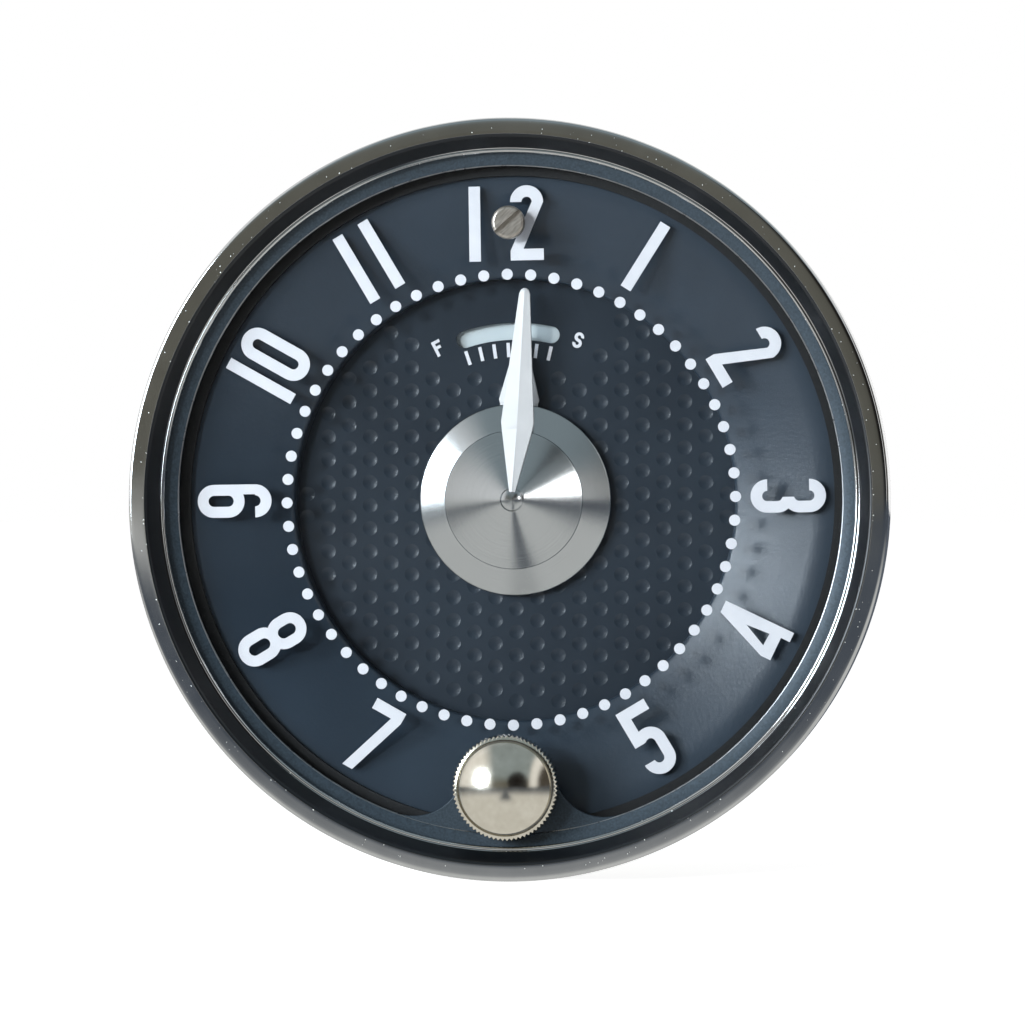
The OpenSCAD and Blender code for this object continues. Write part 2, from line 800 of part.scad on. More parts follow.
// two threaded studs with a hexagon collar outside and a thinner tail through the cover
module mounting_studs() {
  color([0.7, 0.7, 0.68]) place() for (s = [-1, 1]) translate([s * stud_gap / 2, 0]) {
    rod(stud_r, cover_z0 - nut_t - stud_l, cover_z0 - nut_t + eps);
    translate([0, 0, cover_z0 - nut_t]) cylinder(r = nut_r, h = nut_t, $fn = 6);
    rod(tail_r, cover_z0 - eps, case_z0 + nut_t + 0.4);
  }
}

// hexagon nuts on the tails of the studs, inside the cover
module stud_nuts() {
  color([0.7, 0.7, 0.68]) place() for (s = [-1, 1])
    translate([s * stud_gap / 2, 0, case_z0]) linear_extrude(nut_t) difference() {
      circle(nut_r, $fn = 6);
      circle(tail_r + run);
    }
}

// flat power blade with its inner tail
module terminal_blade() {
  w = 6.3;
  t = 0.8;
  color([0.75, 0.65, 0.4]) place() translate([terminal_xy[0], terminal_xy[1], 0])
    difference() {
      union() {
        translate([-w / 2, -t / 2, cover_z0 - 11]) cube([w, t, 9]);
        translate([-1.5, -t / 2, cover_z0 - 2 - eps]) cube([3, t, 6]);
      }
      translate([0, t, cover_z0 - 8.5]) rotate([90, 0, 0]) cylinder(r = 0.9, h = 2 * t);
    }
}

// moulded block that insulates the blade
module terminal_block() {
  t = 0.8;
  color([0.15, 0.1, 0.08]) place() translate([terminal_xy[0], terminal_xy[1], 0]) difference() {
    union() {
      rod(5, cover_z0 - 2, cover_z0);
      rod(3.1, cover_z0 - eps, case_z0 + 1.5);
    }
    translate([-1.5 - run, -t / 2 - run, cover_z0 - 3]) cube([3 + 2 * run, t + 2 * run, 9]);
  }
}

// brass plate behind the dial
module front_plate() {
  color([0.8, 0.68, 0.38]) place() translate([0, 0, plate_z0]) linear_extrude(plate_t)
    difference() {
      circle(plate_r);
      circle(centre_r + run);
      translate([0, stem_y]) circle(stem_r + run);
      translate([0, reg_y]) circle(stem_r + run);
      translate(lamp_xy) circle(lamp_r + lamp_gap);
      for (p = [third_xy, fourth_xy, escape_xy, pallet_xy, balance_xy, arm_xy])
        translate(p) circle(arbor_r + run);
      for (p = pillar_xy) translate(p) circle(screw_d / 2 + gap);
      for (y = [minute_y, idler_y]) translate([0, y]) circle(centre_r + run);
    }
}

// brass plate at the back of the movement
module back_plate() {
  color([0.8, 0.68, 0.38]) place() translate([0, 0, back_z0]) linear_extrude(plate_t)
    difference() {
      circle(plate_r);
      circle(centre_r + run);
      translate(lamp_xy) circle(lamp_r + lamp_gap);
      for (p = [third_xy, fourth_xy, escape_xy, pallet_xy, balance_xy, arm_xy])
        translate(p) circle(arbor_r + run);
      for (p = pillar_xy) translate(p) circle(screw_d / 2 + gap);
    }
}

// four pillars between the plates
module plate_pillars() {
  color([0.78, 0.65, 0.35]) place() for (p = pillar_xy) translate(p) difference() {
    rod(pillar_r, back_z1, plate_z0);
    rod(screw_d / 2 + gap, back_z1 - 1, back_z1 + 4);
    rod(screw_d / 2 + gap, plate_z0 - 4, plate_z0 + 1);
  }
}

// screws at both ends of the pillars
module pillar_screws() {
  color([0.6, 0.6, 0.6]) place() for (p = pillar_xy) translate([p[0], p[1], 0]) {
    translate([0, 0, plate_z1]) {
      slot_head(screw_d, 1.1, 0);
      translate([0, 0, -plate_t - 3]) cylinder(r = screw_d / 2, h = plate_t + 3);
    }
    translate([0, 0, back_z0]) mirror([0, 0, 1]) {
      slot_head(screw_d, 1.1, 0);
      translate([0, 0, -plate_t - 3]) cylinder(r = screw_d / 2, h = plate_t + 3);
    }
  }
}

// studs that carry the minute wheel and the idler
module motion_studs() {
  color([0.6, 0.6, 0.6]) place() {
    translate([0, minute_y]) {
      rod(centre_r, plate_z0, hour_wheel_z + 1.6);
      rod(centre_r + 0.7, plate_z1, minute_wheel_z - gap);
      rod(centre_r + 0.4, hour_wheel_z + 1.15, hour_wheel_z + 1.6);
    }
    translate([0, idler_y]) {
      rod(centre_r, plate_z0, minute_wheel_z + wheel_t + 0.6);
      rod(centre_r + 0.7, plate_z1, minute_wheel_z - gap);
      rod(centre_r + 0.6, minute_wheel_z + wheel_t + gap, minute_wheel_z + wheel_t + 0.6);
    }
  }
}

// bush through the lens stack for the setting stem
module stem_bush() {
  color([0.75, 0.6, 0.3]) place() translate([0, stem_y]) {
    tube(stem_r + run, bush_r, stem_bush_z0, ret_z1);
    tube(stem_r + run, bush_r + 1.2, ret_z1, ret_z1 + 0.5);
  }
}

// ridged strip along local +Y through rows of [y, half width, base height]
module ridged(rows) {
  n = len(rows);
  pts = [for (q = rows) each [[-q[1], q[0], q[2]], [-q[1], q[0], q[2] + hand_t],
    [0, q[0], q[2] + hand_t + q[3]], [q[1], q[0], q[2] + hand_t], [q[1], q[0], q[2]]]];
  side = [for (i = [0:n - 2]) for (s = [0:4]) let (t = (s + 1) % 5)
    [i * 5 + s, i * 5 + t, (i + 1) * 5 + t, (i + 1) * 5 + s]];
  ends = [[4, 3, 2, 1, 0], [for (s = [0:4]) (n - 1) * 5 + s]];
  polyhedron(points = pts, faces = concat(side, ends));
}

// white minute hand pressed with a ridge, lying on the cone
module minute_hand() {
  lift = cap_z + hub_t + 0.03;
  bend = cap_r + 0.15;
  tip_w = 0.65;
  color([0.93, 0.93, 0.93]) place() rotate([0, 0, -minute_turn])
    ridged([[0.9, 0.35, lift + cap_rise - 0.9 * cap_slope, ridge_h * 0.6],
      [bend, minute_w * 0.47, lift + cap_rise - bend * cap_slope, ridge_h],
      [bend + 0.8, minute_w / 2, lift, ridge_h],
      [minute_l - tip_w, tip_w, lift, ridge_h * 0.6],
      [minute_l - tip_w * 0.3, tip_w * 0.7, lift, ridge_h * 0.4],
      [minute_l, tip_w * 0.25, lift, 0.02]]);
}

// polished cone on the minute pipe
module minute_cone() {
  color([0.8, 0.8, 0.78]) place() rotate_extrude() polygon([[0, cap_top], [cap_r, cap_z + hub_t],
    [cap_r, cap_z], [pipe_out, cap_top - pipe_out * cap_slope - hub_t],
    [pipe_out, cap_z - 0.2], [cannon_out + eps, cap_z - 0.2],
    [cannon_out + eps, cap_top - cannon_out * cap_slope - hub_t - 0.1],
    [0, cap_top - cannon_out * cap_slope - hub_t - 0.1]]);
}

// pinion and pipe that carry the minute hand
module cannon_pinion() {
  top = cap_top - cannon_out * cap_slope - hub_t - 0.12;
  color([0.7, 0.7, 0.66]) place() difference() {
    union() {
      leaf(cannon_n, mod_set, cannon_th, cannon_z, 1.5);
      rod(cannon_out, cannon_z, top);
    }
    rod(cannon_in, cannon_z - 1, top + 1);
  }
}

// white hour hand, a ridged lozenge under the hub ring
module hour_hand() {
  root = pipe_out + 1.4;
  wide = hub_r + 0.5;
  tip_w = 0.45;
  color([0.93, 0.93, 0.93]) place() rotate([0, 0, -hour_turn])
    ridged([[root, 1.4, hour_z, eps], [hub_r + 0.05, hour_w * 0.47, hour_z, eps],
      [wide, hour_w / 2, hour_z, ridge_h],
      [hour_l - tip_w, tip_w, hour_z, ridge_h * 0.6], [hour_l, tip_w * 0.4, hour_z, 0.02]]);
}

// polished conical ring on the hour pipe
module hour_hub() {
  drop = hub_rise / (hub_r - hub_in_r);
  base = hub_z + 2 * eps;
  color([0.8, 0.8, 0.78]) place() rotate_extrude() polygon([[hub_r, base],
    [hub_r, base + hub_t], [hub_in_r, hub_top], [pipe_out + eps, hub_top],
    [pipe_out + eps, hub_top - hub_t - 1.2], [pipe_out + 1.3, hub_top - hub_t - 1.2],
    [pipe_out + 1.3, hub_top - hub_t], [hub_in_r, hub_top - hub_t],
    [hub_r - 0.4, base]]);
}

// hour wheel on its pipe
module hour_wheel() {
  color([0.78, 0.66, 0.38]) place() {
    wheel(hour_n, mod_hour, hour_th, pipe_in, hour_wheel_z, wheel_t);
    tube(pipe_in, pipe_out, hour_wheel_z + wheel_t - eps, hub_top - gap);
  }
}

// minute wheel with its pinion
module minute_wheel() {
  color([0.78, 0.66, 0.38]) place() translate([0, minute_y]) {
    wheel(minute_n, mod_set, minute_th, centre_r + run, minute_wheel_z, wheel_t);
    wheel(minute_pn, mod_hour, minute_th, centre_r + run, minute_wheel_z + wheel_t - eps, 2.2);
  }
}

// idler between the minute wheel and the setting pinion
module set_idler() {
  color([0.78, 0.66, 0.38]) place() translate([0, idler_y])
    wheel(idler_n, mod_set, idler_th, centre_r + run, minute_wheel_z, wheel_t);
}

// levels of the setting stem
washer_z = dial_z0 - 3.4;
washer_t = 0.6;
set_pinion_z = minute_wheel_z - pull;

// thrust washer that slides with the stem
module stem_washer() {
  color([0.7, 0.7, 0.7]) place() translate([0, stem_y])
    tube(stem_r + run, bush_r + 0.4, washer_z, washer_z + washer_t);
}

// spring that pushes the stem back in
module stem_spring() {
  wire = 0.2;
  color([0.6, 0.6, 0.62]) place() translate([0, stem_y])
    coil(bush_r - wire - 0.1, wire, washer_z + washer_t + wire + eps, stem_bush_z0 - wire - eps, 6);
}

// domed knob with a knurled skirt
module set_knob() {
  n = 2 * knurl_count;
  knurl = [for (i = [0:n - 1]) let (r = knob_r - (i % 2) * knurl_h) r * [cos(360 * i / n),
    sin(360 * i / n)]];
  ball = (dome_r * dome_r + dome_h * dome_h) / (2 * dome_h);
  color([0.75, 0.73, 0.68]) place() translate([0, stem_y]) difference() {
    union() {
      translate([0, 0, knob_z]) linear_extrude(skirt_l) polygon(knurl);
      rod(dome_r - 0.25, knob_skirt_z - eps, knob_skirt_z + 0.3);
      rotate_extrude() polygon(concat([[0, knob_skirt_z + 0.25]],
        [[dome_r, knob_skirt_z + 0.25]],
        arc([0, knob_skirt_z + 0.3 + dome_h - ball], ball, asin((ball - dome_h) / ball), 90, 12)));
    }
    rod(stem_r + eps, knob_z - 1, knob_skirt_z);
  }
}

// setting stem with the collar behind the washer
module set_stem() {
  color([0.65, 0.65, 0.65]) place() translate([0, stem_y]) {
    rod(stem_r, plate_z0 - pull, knob_skirt_z - gap);
    rod(stem_r + 0.6, washer_z - 0.6, washer_z - eps);
  }
}

// sliding pinion on the stem, behind the idler at rest
module set_pinion() {
  color([0.7, 0.7, 0.66]) place() translate([0, stem_y])
    wheel(set_n, mod_set, set_th, stem_r + eps, set_pinion_z, wheel_t);
}

// slotted regulator screw with its pinion
module regulator_screw() {
  color([0.78, 0.76, 0.7]) place() translate([0, reg_y]) {
    translate([0, 0, lens_z1 + gap]) slot_head(screw_r, screw_l, screw_turn);
    rod(stem_r, plate_z0, lens_z1 + gap + eps);
    leaf(reg_n, mod_reg, reg_th, arm_z1 - arm_t - 0.2, arm_t + 0.4);
  }
}

// regulator arm: eye, flag behind the slot and toothed sector
module regulator_arm() {
  rs = mod_reg * reg_sector_n / 2;
  half = 13;
  color([0.72, 0.77, 0.78]) place() translate([0, 0, arm_z1 - arm_t]) linear_extrude(arm_t)
    difference() {
      union() {
        circle(bush_flange);
        intersection() {
          circle(slot_r + slot_h);
          polygon([[0, 0], 40 * [-sin(flag_half), cos(flag_half)],
            40 * [sin(flag_half), cos(flag_half)]]);
        }
        intersection() {
          polygon(gear_pts(reg_sector_n, mod_reg, sector_th));
          polygon([[0, 0], 40 * [-sin(half), cos(half)], 40 * [sin(half), cos(half)]]);
        }
      }
      circle(bush_out + run);
      difference() {
        intersection() {
          circle(rs - 3);
          polygon([[0, 0], 40 * [-sin(half - 5), cos(half - 5)],
            40 * [sin(half - 5), cos(half - 5)]]);
        }
        circle(slot_r + slot_h);
      }
    }
}

// arbor with two thin pivots in the plates
module train_arbor(r) {
  rod(r, back_z1 + gap, plate_z0 - gap);
  rod(arbor_r, back_z0 + gap, plate_z1 - gap);
}

// centre arbor that carries the cannon pinion
module centre_arbor() {
  color([0.6, 0.6, 0.6]) place() rod(centre_r, back_z0, cap_top - cannon_out * cap_slope - 1);
}

// great wheel on the centre arbor
module centre_wheel() {
  color([0.78, 0.66, 0.38]) place()
    wheel(centre_n, mod_c, centre_th, centre_r + eps, centre_wheel_z, wheel_t);
}

// saw-toothed ratchet on the centre arbor
module ratchet_wheel() {
  n = 30;
  r = 5;
  pts = [for (i = [0:n - 1]) each [r * [cos(360 * i / n), sin(360 * i / n)],
    (r - 0.6) * [cos(360 * (i + 0.15) / n), sin(360 * (i + 0.15) / n)]]];
  color([0.65, 0.65, 0.62]) place() translate([0, 0, ratchet_z]) linear_extrude(wheel_t)
    difference() {
      polygon(pts);
      circle(centre_r + eps);
    }
}

// third arbor with its pinion
module third_arbor() {
  color([0.6, 0.6, 0.6]) place() translate(third_xy) {
    train_arbor(arbor_r);
    leaf(leaf_n, mod_c, third_th, centre_wheel_z - 0.4, wheel_t + 0.8);
  }
}

// third wheel
module third_wheel() {
  color([0.78, 0.66, 0.38]) place() translate(third_xy)
    wheel(third_n, mod_3, third_th, arbor_r + eps, third_wheel_z, wheel_t);
}

// fourth arbor with its pinion
module fourth_arbor() {
  color([0.6, 0.6, 0.6]) place() translate(fourth_xy) {
    train_arbor(arbor_r);
    leaf(leaf_n, mod_3, fourth_th, third_wheel_z - 0.4, wheel_t + 0.8);
  }
}

// fourth wheel
module fourth_wheel() {
  color([0.78, 0.66, 0.38]) place() translate(fourth_xy)
    wheel(fourth_n, mod_4, fourth_th, arbor_r + eps, fourth_wheel_z, wheel_t);
}

// escape arbor with its pinion
module escape_arbor() {
  color([0.6, 0.6, 0.6]) place() translate(escape_xy) {
    train_arbor(arbor_r);
    leaf(leaf_n, mod_4, escape_th, fourth_wheel_z - 0.4, wheel_t + 0.8);
  }
}

// escape wheel with pointed teeth
module escape_wheel() {
  pts = [for (i = [0:escape_n - 1]) each [escape_r * [cos(360 * i / escape_n),
    sin(360 * i / escape_n)], escape_r * [cos(360 * (i + 0.06) / escape_n),
    sin(360 * (i + 0.06) / escape_n)], escape_r * 0.68 * [cos(360 * (i + 0.3) / escape_n),
    sin(360 * (i + 0.3) / escape_n)], escape_r * 0.68 * [cos(360 * (i + 0.9) / escape_n),
    sin(360 * (i + 0.9) / escape_n)]]];
  color([0.78, 0.66, 0.38]) place() translate([escape_xy[0], escape_xy[1], escape_wheel_z])
    linear_extrude(wheel_t) difference() {
      polygon(pts);
      circle(arbor_r + eps);
    }
}

// pallet lever on its arbor, arms beside the escape wheel and a fork to the balance
module pallet_lever() {
  out = escape_xy - pallet_xy;
  turn = atan2(out[1], out[0]);
  away = atan2(balance_xy[1] - pallet_xy[1], balance_xy[0] - pallet_xy[0]);
  color([0.65, 0.65, 0.68]) place() translate(pallet_xy) {
    train_arbor(arbor_r);
    translate([0, 0, escape_wheel_z]) linear_extrude(wheel_t) {
      circle(1.2);
      rotate([0, 0, turn]) for (s = [-1, 1])
        polygon(u * [[0.4, s * 0.3], [0.9, s * 4.9], [1.5, s * 4.9], [1.3, s * 0.3]]);
      rotate([0, 0, away]) polygon(u * [[0, -0.5], [5.6, -0.35], [5.6, 0.35], [0, 0.5]]);
    }
  }
}

// balance rim with its crossing
module balance_wheel() {
  color([0.8, 0.68, 0.38]) place() translate([balance_xy[0], balance_xy[1], balance_z])
    linear_extrude(1.2) difference() {
      union() {
        difference() {
          circle(balance_r);
          circle(balance_r - 1.3);
        }
        square([2 * balance_r - 1, 1.4], center = true);
        circle(1.6);
      }
      circle(arbor_r + 0.3 + eps);
    }
}

// balance staff with its roller and pin
module balance_staff() {
  color([0.6, 0.6, 0.6]) place() translate(balance_xy) {
    train_arbor(arbor_r + 0.3);
    rod(1.8, escape_wheel_z + wheel_t + 0.4, escape_wheel_z + wheel_t + 1);
    rod(1.1, spiral_z - 0.2, spiral_z + 0.8);
  }
}

// flat spiral spring on the balance staff
module hairspring() {
  turns = 5;
  per = 18;
  n = turns * per;
  pitch = 0.85;
  wide = 0.16;
  r0 = 1.15;
  inner = [for (i = [0:n]) let (a = 360 * i / per, r = r0 + pitch * i / per) r * [cos(a), sin(a)]];
  outer = [for (i = [n:-1:0]) let (a = 360 * i / per, r = r0 + wide + pitch * i / per)
    r * [cos(a), sin(a)]];
  color([0.3, 0.35, 0.5]) place() translate([balance_xy[0], balance_xy[1], spiral_z])
    linear_extrude(0.6) polygon(concat(inner, outer));
}

// iron core with two pole arms and two feet on the front plate
module magnet_yoke() {
  pole_x = arm_xy[0] - coil_xy[0] - 2.7;
  color([0.45, 0.45, 0.47]) place() translate([coil_xy[0], coil_xy[1], magnet_z]) {
    rotate([90, 0, 0]) translate([0, 0, -coil_l / 2]) cylinder(r = core_r, h = coil_l);
    for (s = [-1, 1]) translate([-4, s * (coil_l / 2 + arm_t_m / 2) - arm_t_m / 2, -3]) {
      cube([pole_x + 4, arm_t_m, 6]);
      cube([3, arm_t_m, plate_z0 - magnet_z + 3]);
    }
  }
}

// copper winding on the core
module magnet_coil() {
  color([0.7, 0.4, 0.2]) place() translate([coil_xy[0], coil_xy[1], magnet_z])
    rotate([90, 0, 0]) translate([0, 0, gap - coil_l / 2]) linear_extrude(coil_l - 2 * gap)
      difference() {
        circle(coil_r);
        circle(core_r + run);
      }
}

// iron armature on its arbor with the driving finger
module armature() {
  reach = coil_l / 2 + arm_t_m * 0.8;
  color([0.5, 0.5, 0.52]) place() translate(arm_xy) {
    train_arbor(arbor_r);
    translate([-1.6, -reach, magnet_z - 2.4]) cube([3.2, 2 * reach, 4.8]);
    translate([-0.6, 0, ratchet_z]) cube([1.2, -arm_xy[1] - 5.6, wheel_t]);
    translate([1.5, -reach, magnet_z - 0.4]) cube([4.5, 1.6, 0.8]);
  }
}

// pulling spring of the armature
module armature_spring() {
  wire = 0.18;
  color([0.6, 0.6, 0.62]) place()
    translate([arm_xy[0] + 5, arm_xy[1] - coil_l / 2 - arm_t_m * 0.8 + 0.8, 0])
      coil(1.1, wire, back_z1 + wire + 0.1, magnet_z - 0.4 - wire - 0.1, 7);
}

// leaf with a contact on an insulating block
module contact_spring() {
  x = arm_xy[0] - 1;
  y = arm_xy[1] - coil_l / 2 - arm_t_m - 3;
  color([0.75, 0.6, 0.35]) place() {
    translate([x - 6, y - 2, plate_z0 - 4]) cube([5, 4, 4]);
    translate([x - 1 - eps, y - 1.5, plate_z0 - 3]) cube([7, 3, 0.3]);
    translate([x + 4.5, y, plate_z0 - 3.8]) cylinder(r = 0.9, h = 0.85);
  }
}

bezel();
panel_gasket();
lens_retainer();
lens();
lens_seat();
numerals();
minute_dots();
chapter_ring();
dial_plate();
scale_print();
dial_bush();
dial_posts();
case_barrel();
rear_cover();
cover_screws();
cover_posts();
mounting_studs();
stud_nuts();
terminal_blade();
terminal_block();
front_plate();
back_plate();
plate_pillars();
pillar_screws();
motion_studs();
stem_bush();
minute_hand();
minute_cone();
cannon_pinion();
hour_hand();
hour_hub();
hour_wheel();
minute_wheel();
set_idler();
stem_washer();
stem_spring();
set_knob();
set_stem();
set_pinion();
regulator_screw();
regulator_arm();
centre_arbor();
centre_wheel();
ratchet_wheel();
third_arbor();
third_wheel();
fourth_arbor();
fourth_wheel();
escape_arbor();
escape_wheel();
pallet_lever();
balance_wheel();
balance_staff();
hairspring();
magnet_yoke();
magnet_coil();
armature();
armature_spring();
contact_spring();
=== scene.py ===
import bpy
from math import radians, degrees, sin, cos, pi, atan2, hypot
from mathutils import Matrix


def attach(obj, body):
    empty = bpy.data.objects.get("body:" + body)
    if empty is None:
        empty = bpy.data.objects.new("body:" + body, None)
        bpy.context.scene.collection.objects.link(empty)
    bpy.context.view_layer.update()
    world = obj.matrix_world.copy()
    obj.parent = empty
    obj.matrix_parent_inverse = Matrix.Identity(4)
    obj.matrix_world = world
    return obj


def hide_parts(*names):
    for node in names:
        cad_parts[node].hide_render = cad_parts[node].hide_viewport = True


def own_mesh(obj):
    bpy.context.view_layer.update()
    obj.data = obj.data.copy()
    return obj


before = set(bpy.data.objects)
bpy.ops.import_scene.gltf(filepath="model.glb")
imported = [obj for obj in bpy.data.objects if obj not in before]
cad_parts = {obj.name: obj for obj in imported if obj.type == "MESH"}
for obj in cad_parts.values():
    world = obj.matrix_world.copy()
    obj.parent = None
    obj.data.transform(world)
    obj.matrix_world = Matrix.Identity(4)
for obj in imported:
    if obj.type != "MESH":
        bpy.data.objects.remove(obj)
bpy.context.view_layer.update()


# ---- case barrel
# The deep-drawn steel can that goes through the hole in the dash, with a flat flange under
# the bezel. Bright zinc plate, a little clouded from handling.

def linear(code):
    """Linear colour of an sRGB hex code."""
    out = []
    for i in (0, 2, 4):
        c = int(code[i:i + 2], 16) / 255
        out.append(c / 12.92 if c <= 0.04045 else ((c + 0.055) / 1.055) ** 2.4)
    return (*out, 1)


def blank(name):
    """New material with an empty node tree, and the tree."""
    material = bpy.data.materials.new(name)
    material.use_nodes = True
    material.node_tree.nodes.clear()
    return material, material.node_tree


def add(tree, kind, links=(), **settings):
    """Adds a node, sets its values and links (socket, source node, source socket)."""
    node = tree.nodes.new(kind)
    for key, value in settings.items():
        if hasattr(node, key):
            setattr(node, key, value)
        else:
            key = key.replace("_", " ")
            next(s for s in node.inputs if s.enabled and s.name == key).default_value = value
    for socket, source, key in links:
        output = next(s for s in source.outputs if s.enabled and s.name == key)
        if isinstance(socket, str):
            socket = next(s for s in node.inputs if s.enabled and s.name == socket)
        else:
            socket = node.inputs[socket]
        tree.links.new(output, socket)
    return node


def pick(*pieces):
    """Selects these pieces alone and makes the first one active."""
    bpy.ops.object.select_all(action="DESELECT")
    for piece in pieces:
        piece.select_set(True)
    bpy.context.view_layer.objects.active = pieces[0]


def stand(piece):
    """Stands a piece that was made on its back upright, its face to -Y, and settles it."""
    piece.rotation_euler = (pi / 2, 0, 0)
    pick(piece)
    bpy.ops.object.transform_apply(location=True, rotation=True, scale=True)
    bpy.ops.object.shade_smooth_by_angle(angle=radians(30))


def turned(name, outline, sides, centre=(0, 0), turn=0):
    """Body of revolution from (radius, height) points in mm, on its back, then stood up.

    A radius of 0.01 stands for the axis.
    """
    bpy.ops.object.select_all(action="DESELECT")
    radius, height = outline[0]
    bpy.ops.mesh.primitive_circle_add(vertices=sides, radius=radius / 1000, location=(0, 0, 0),
                                      rotation=(0, 0, radians(turn)), enter_editmode=True)
    bpy.ops.transform.translate(value=(0, 0, height / 1000))
    for wide, up in outline[1:]:
        bpy.ops.mesh.extrude_edges_move(
            TRANSFORM_OT_translate={"value": (0, 0, (up - height) / 1000)})
        bpy.ops.transform.resize(value=(wide / radius, wide / radius, 1),
                                 center_override=(0, 0, 0))
        radius, height = wide, up
    bpy.ops.mesh.select_all(action="SELECT")
    bpy.ops.mesh.remove_doubles(threshold=2e-6)
    bpy.ops.mesh.normals_make_consistent(inside=False)
    bpy.ops.object.mode_set(mode="OBJECT")
    piece = bpy.context.object
    piece.name = name
    bpy.ops.object.transform_apply(location=True, rotation=True, scale=True)
    piece.location = (centre[0] / 1000, 0, centre[1] / 1000)
    stand(piece)
    return piece


def dress(piece, body, material, slot, *nodes):
    """Gives a new piece its finish, lets it ride on a body and stand for CAD nodes."""
    piece.data.materials.clear()
    piece.data.materials.append(material)
    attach(piece, body)
    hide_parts(*nodes)


# zinc plate: soft grey metal, slightly patchy
zinc, tree = blank("bright_zinc_plate")
place = add(tree, "ShaderNodeTexCoord")
grain = add(tree, "ShaderNodeTexNoise", [("Vector", place, "Object")], Scale=800, Detail=6)
cloud = add(tree, "ShaderNodeTexNoise", [("Vector", place, "Object")], Scale=45, Detail=4)
tone = add(tree, "ShaderNodeMix", [("Factor", cloud, "Fac")], data_type="RGBA",
           A=linear("7d7e7b"), B=linear("c4c5c0"))
dull = add(tree, "ShaderNodeMapRange", [("Value", grain, "Fac")], To_Min=0.22, To_Max=0.52)
bump = add(tree, "ShaderNodeBump", [("Height", grain, "Fac")], Strength=0.08, Distance=0.00008)
metal = add(tree, "ShaderNodeBsdfPrincipled", [("Base Color", tone, "Result"),
            ("Roughness", dull, "Result"), ("Normal", bump, "Normal")], Metallic=1)
add(tree, "ShaderNodeOutputMaterial", [("Surface", metal, "BSDF")])

barrel = turned("case_barrel_drawn", [(37.3, -36), (38.0, -36), (38.1, -35.9), (38.1, 1.8),
                (38.3, 2.0), (43.4, 2.0), (43.5, 2.1), (43.5, 2.7), (43.4, 2.8), (37.6, 2.8),
                (37.3, 2.5), (37.3, -36)], 160)
dress(barrel, "clock_case", zinc, "plated_steel", "case_barrel")


# ---- rear cover
# The pressed lid of the can, with a collar for the dial lamp, held by three slotted screws
# that go into posts of the movement. Same plate as the barrel.

def level(piece):
    """Lets the wide faces lead the shading, so that they look flat beside narrow bevels."""
    weighted = piece.modifiers.new("level", "WEIGHTED_NORMAL")
    weighted.weight = 100
    weighted.keep_sharp = True
    bpy.ops.object.modifier_apply(modifier="level")


def eased(node, name, width, steps=2, angle=30):
    """Copy of a CAD node with merged corners and edges eased by a width in mm."""
    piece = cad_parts[node].copy()
    piece.data = piece.data.copy()
    for key in list(piece.keys()):
        del piece[key]
    piece.parent = None
    piece.name = name
    bpy.context.scene.collection.objects.link(piece)
    pick(piece)
    bpy.ops.object.mode_set(mode="EDIT")
    bpy.ops.mesh.select_all(action="SELECT")
    bpy.ops.mesh.remove_doubles(threshold=1e-6)
    bpy.ops.mesh.dissolve_limited(angle_limit=radians(1))
    bpy.ops.object.mode_set(mode="OBJECT")
    bpy.ops.object.shade_smooth_by_angle(angle=radians(30))
    if width:
        bevel = piece.modifiers.new("eased", "BEVEL")
        bevel.width = width / 1000
        bevel.segments = steps
        bevel.limit_method = "ANGLE"
        bevel.angle_limit = radians(angle)
        bpy.ops.object.modifier_apply(modifier="eased")
        level(piece)
    return piece


cover = eased("rear_cover", "rear_cover_pressed", 0.2)
dress(cover, "clock_case", zinc, "plated_steel", "rear_cover")

# bright steel: cool grey, fine dull grain
steel, tree = blank("bright_steel")
place = add(tree, "ShaderNodeTexCoord")
grain = add(tree, "ShaderNodeTexNoise", [("Vector", place, "Object")], Scale=900, Detail=5)
tone = add(tree, "ShaderNodeMix", [("Factor", grain, "Fac")], data_type="RGBA",
           A=linear("77797c"), B=linear("aeb0b2"))
dull = add(tree, "ShaderNodeMapRange", [("Value", grain, "Fac")], To_Min=0.18, To_Max=0.42)
metal = add(tree, "ShaderNodeBsdfPrincipled", [("Base Color", tone, "Result"),
            ("Roughness", dull, "Result")], Metallic=1)
add(tree, "ShaderNodeOutputMaterial", [("Surface", metal, "BSDF")])

screws = eased("cover_screws", "cover_screws_slotted", 0.12)
dress(screws, "clock_case", steel, "steel", "cover_screws")


# ---- mounting studs
# Two threaded studs on the rear cover for the dash bracket. Each has a hexagon collar outside
# and a tail through the cover with a nut inside.

stud_x = 25
crest, root, pitch = 2.4, 2.05, 0.8
thread = [(0.01, -52.2), (1.7, -52.2), (2.0, -51.9)]
for i in range(15):
    thread += [(crest, -51.5 + pitch * i), (crest, -51.4 + pitch * i), (root, -51.0 + pitch * i)]
thread += [(root, -39.0), (0.01, -39.0)]
stud = turned("mounting_studs_threaded", thread, 36, (stud_x, 0))
collar = turned("collar", [(3.7, -39.2), (4.0, -39.1), (4.2, -38.8), (4.2, -36.8), (1.9, -36.8),
                (1.9, -33.3), (1.5, -33.2), (0.01, -33.2), (0.01, -39.2), (3.7, -39.2)],
                6, (stud_x, 0), 30)
stud_parts = [stud, collar]
for piece in (stud, collar):
    other = piece.copy()
    other.data = piece.data.copy()
    bpy.context.scene.collection.objects.link(other)
    other.location = (-2 * stud_x / 1000, 0, 0)
    stud_parts.append(other)
pick(*stud_parts)
bpy.ops.object.join()
dress(stud, "clock_case", steel, "zinc_steel", "mounting_studs")
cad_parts["stud_nuts"].material_slots[0].material = steel


# ---- power terminal
# A flat push-on blade in a moulded insulating block on the rear cover.

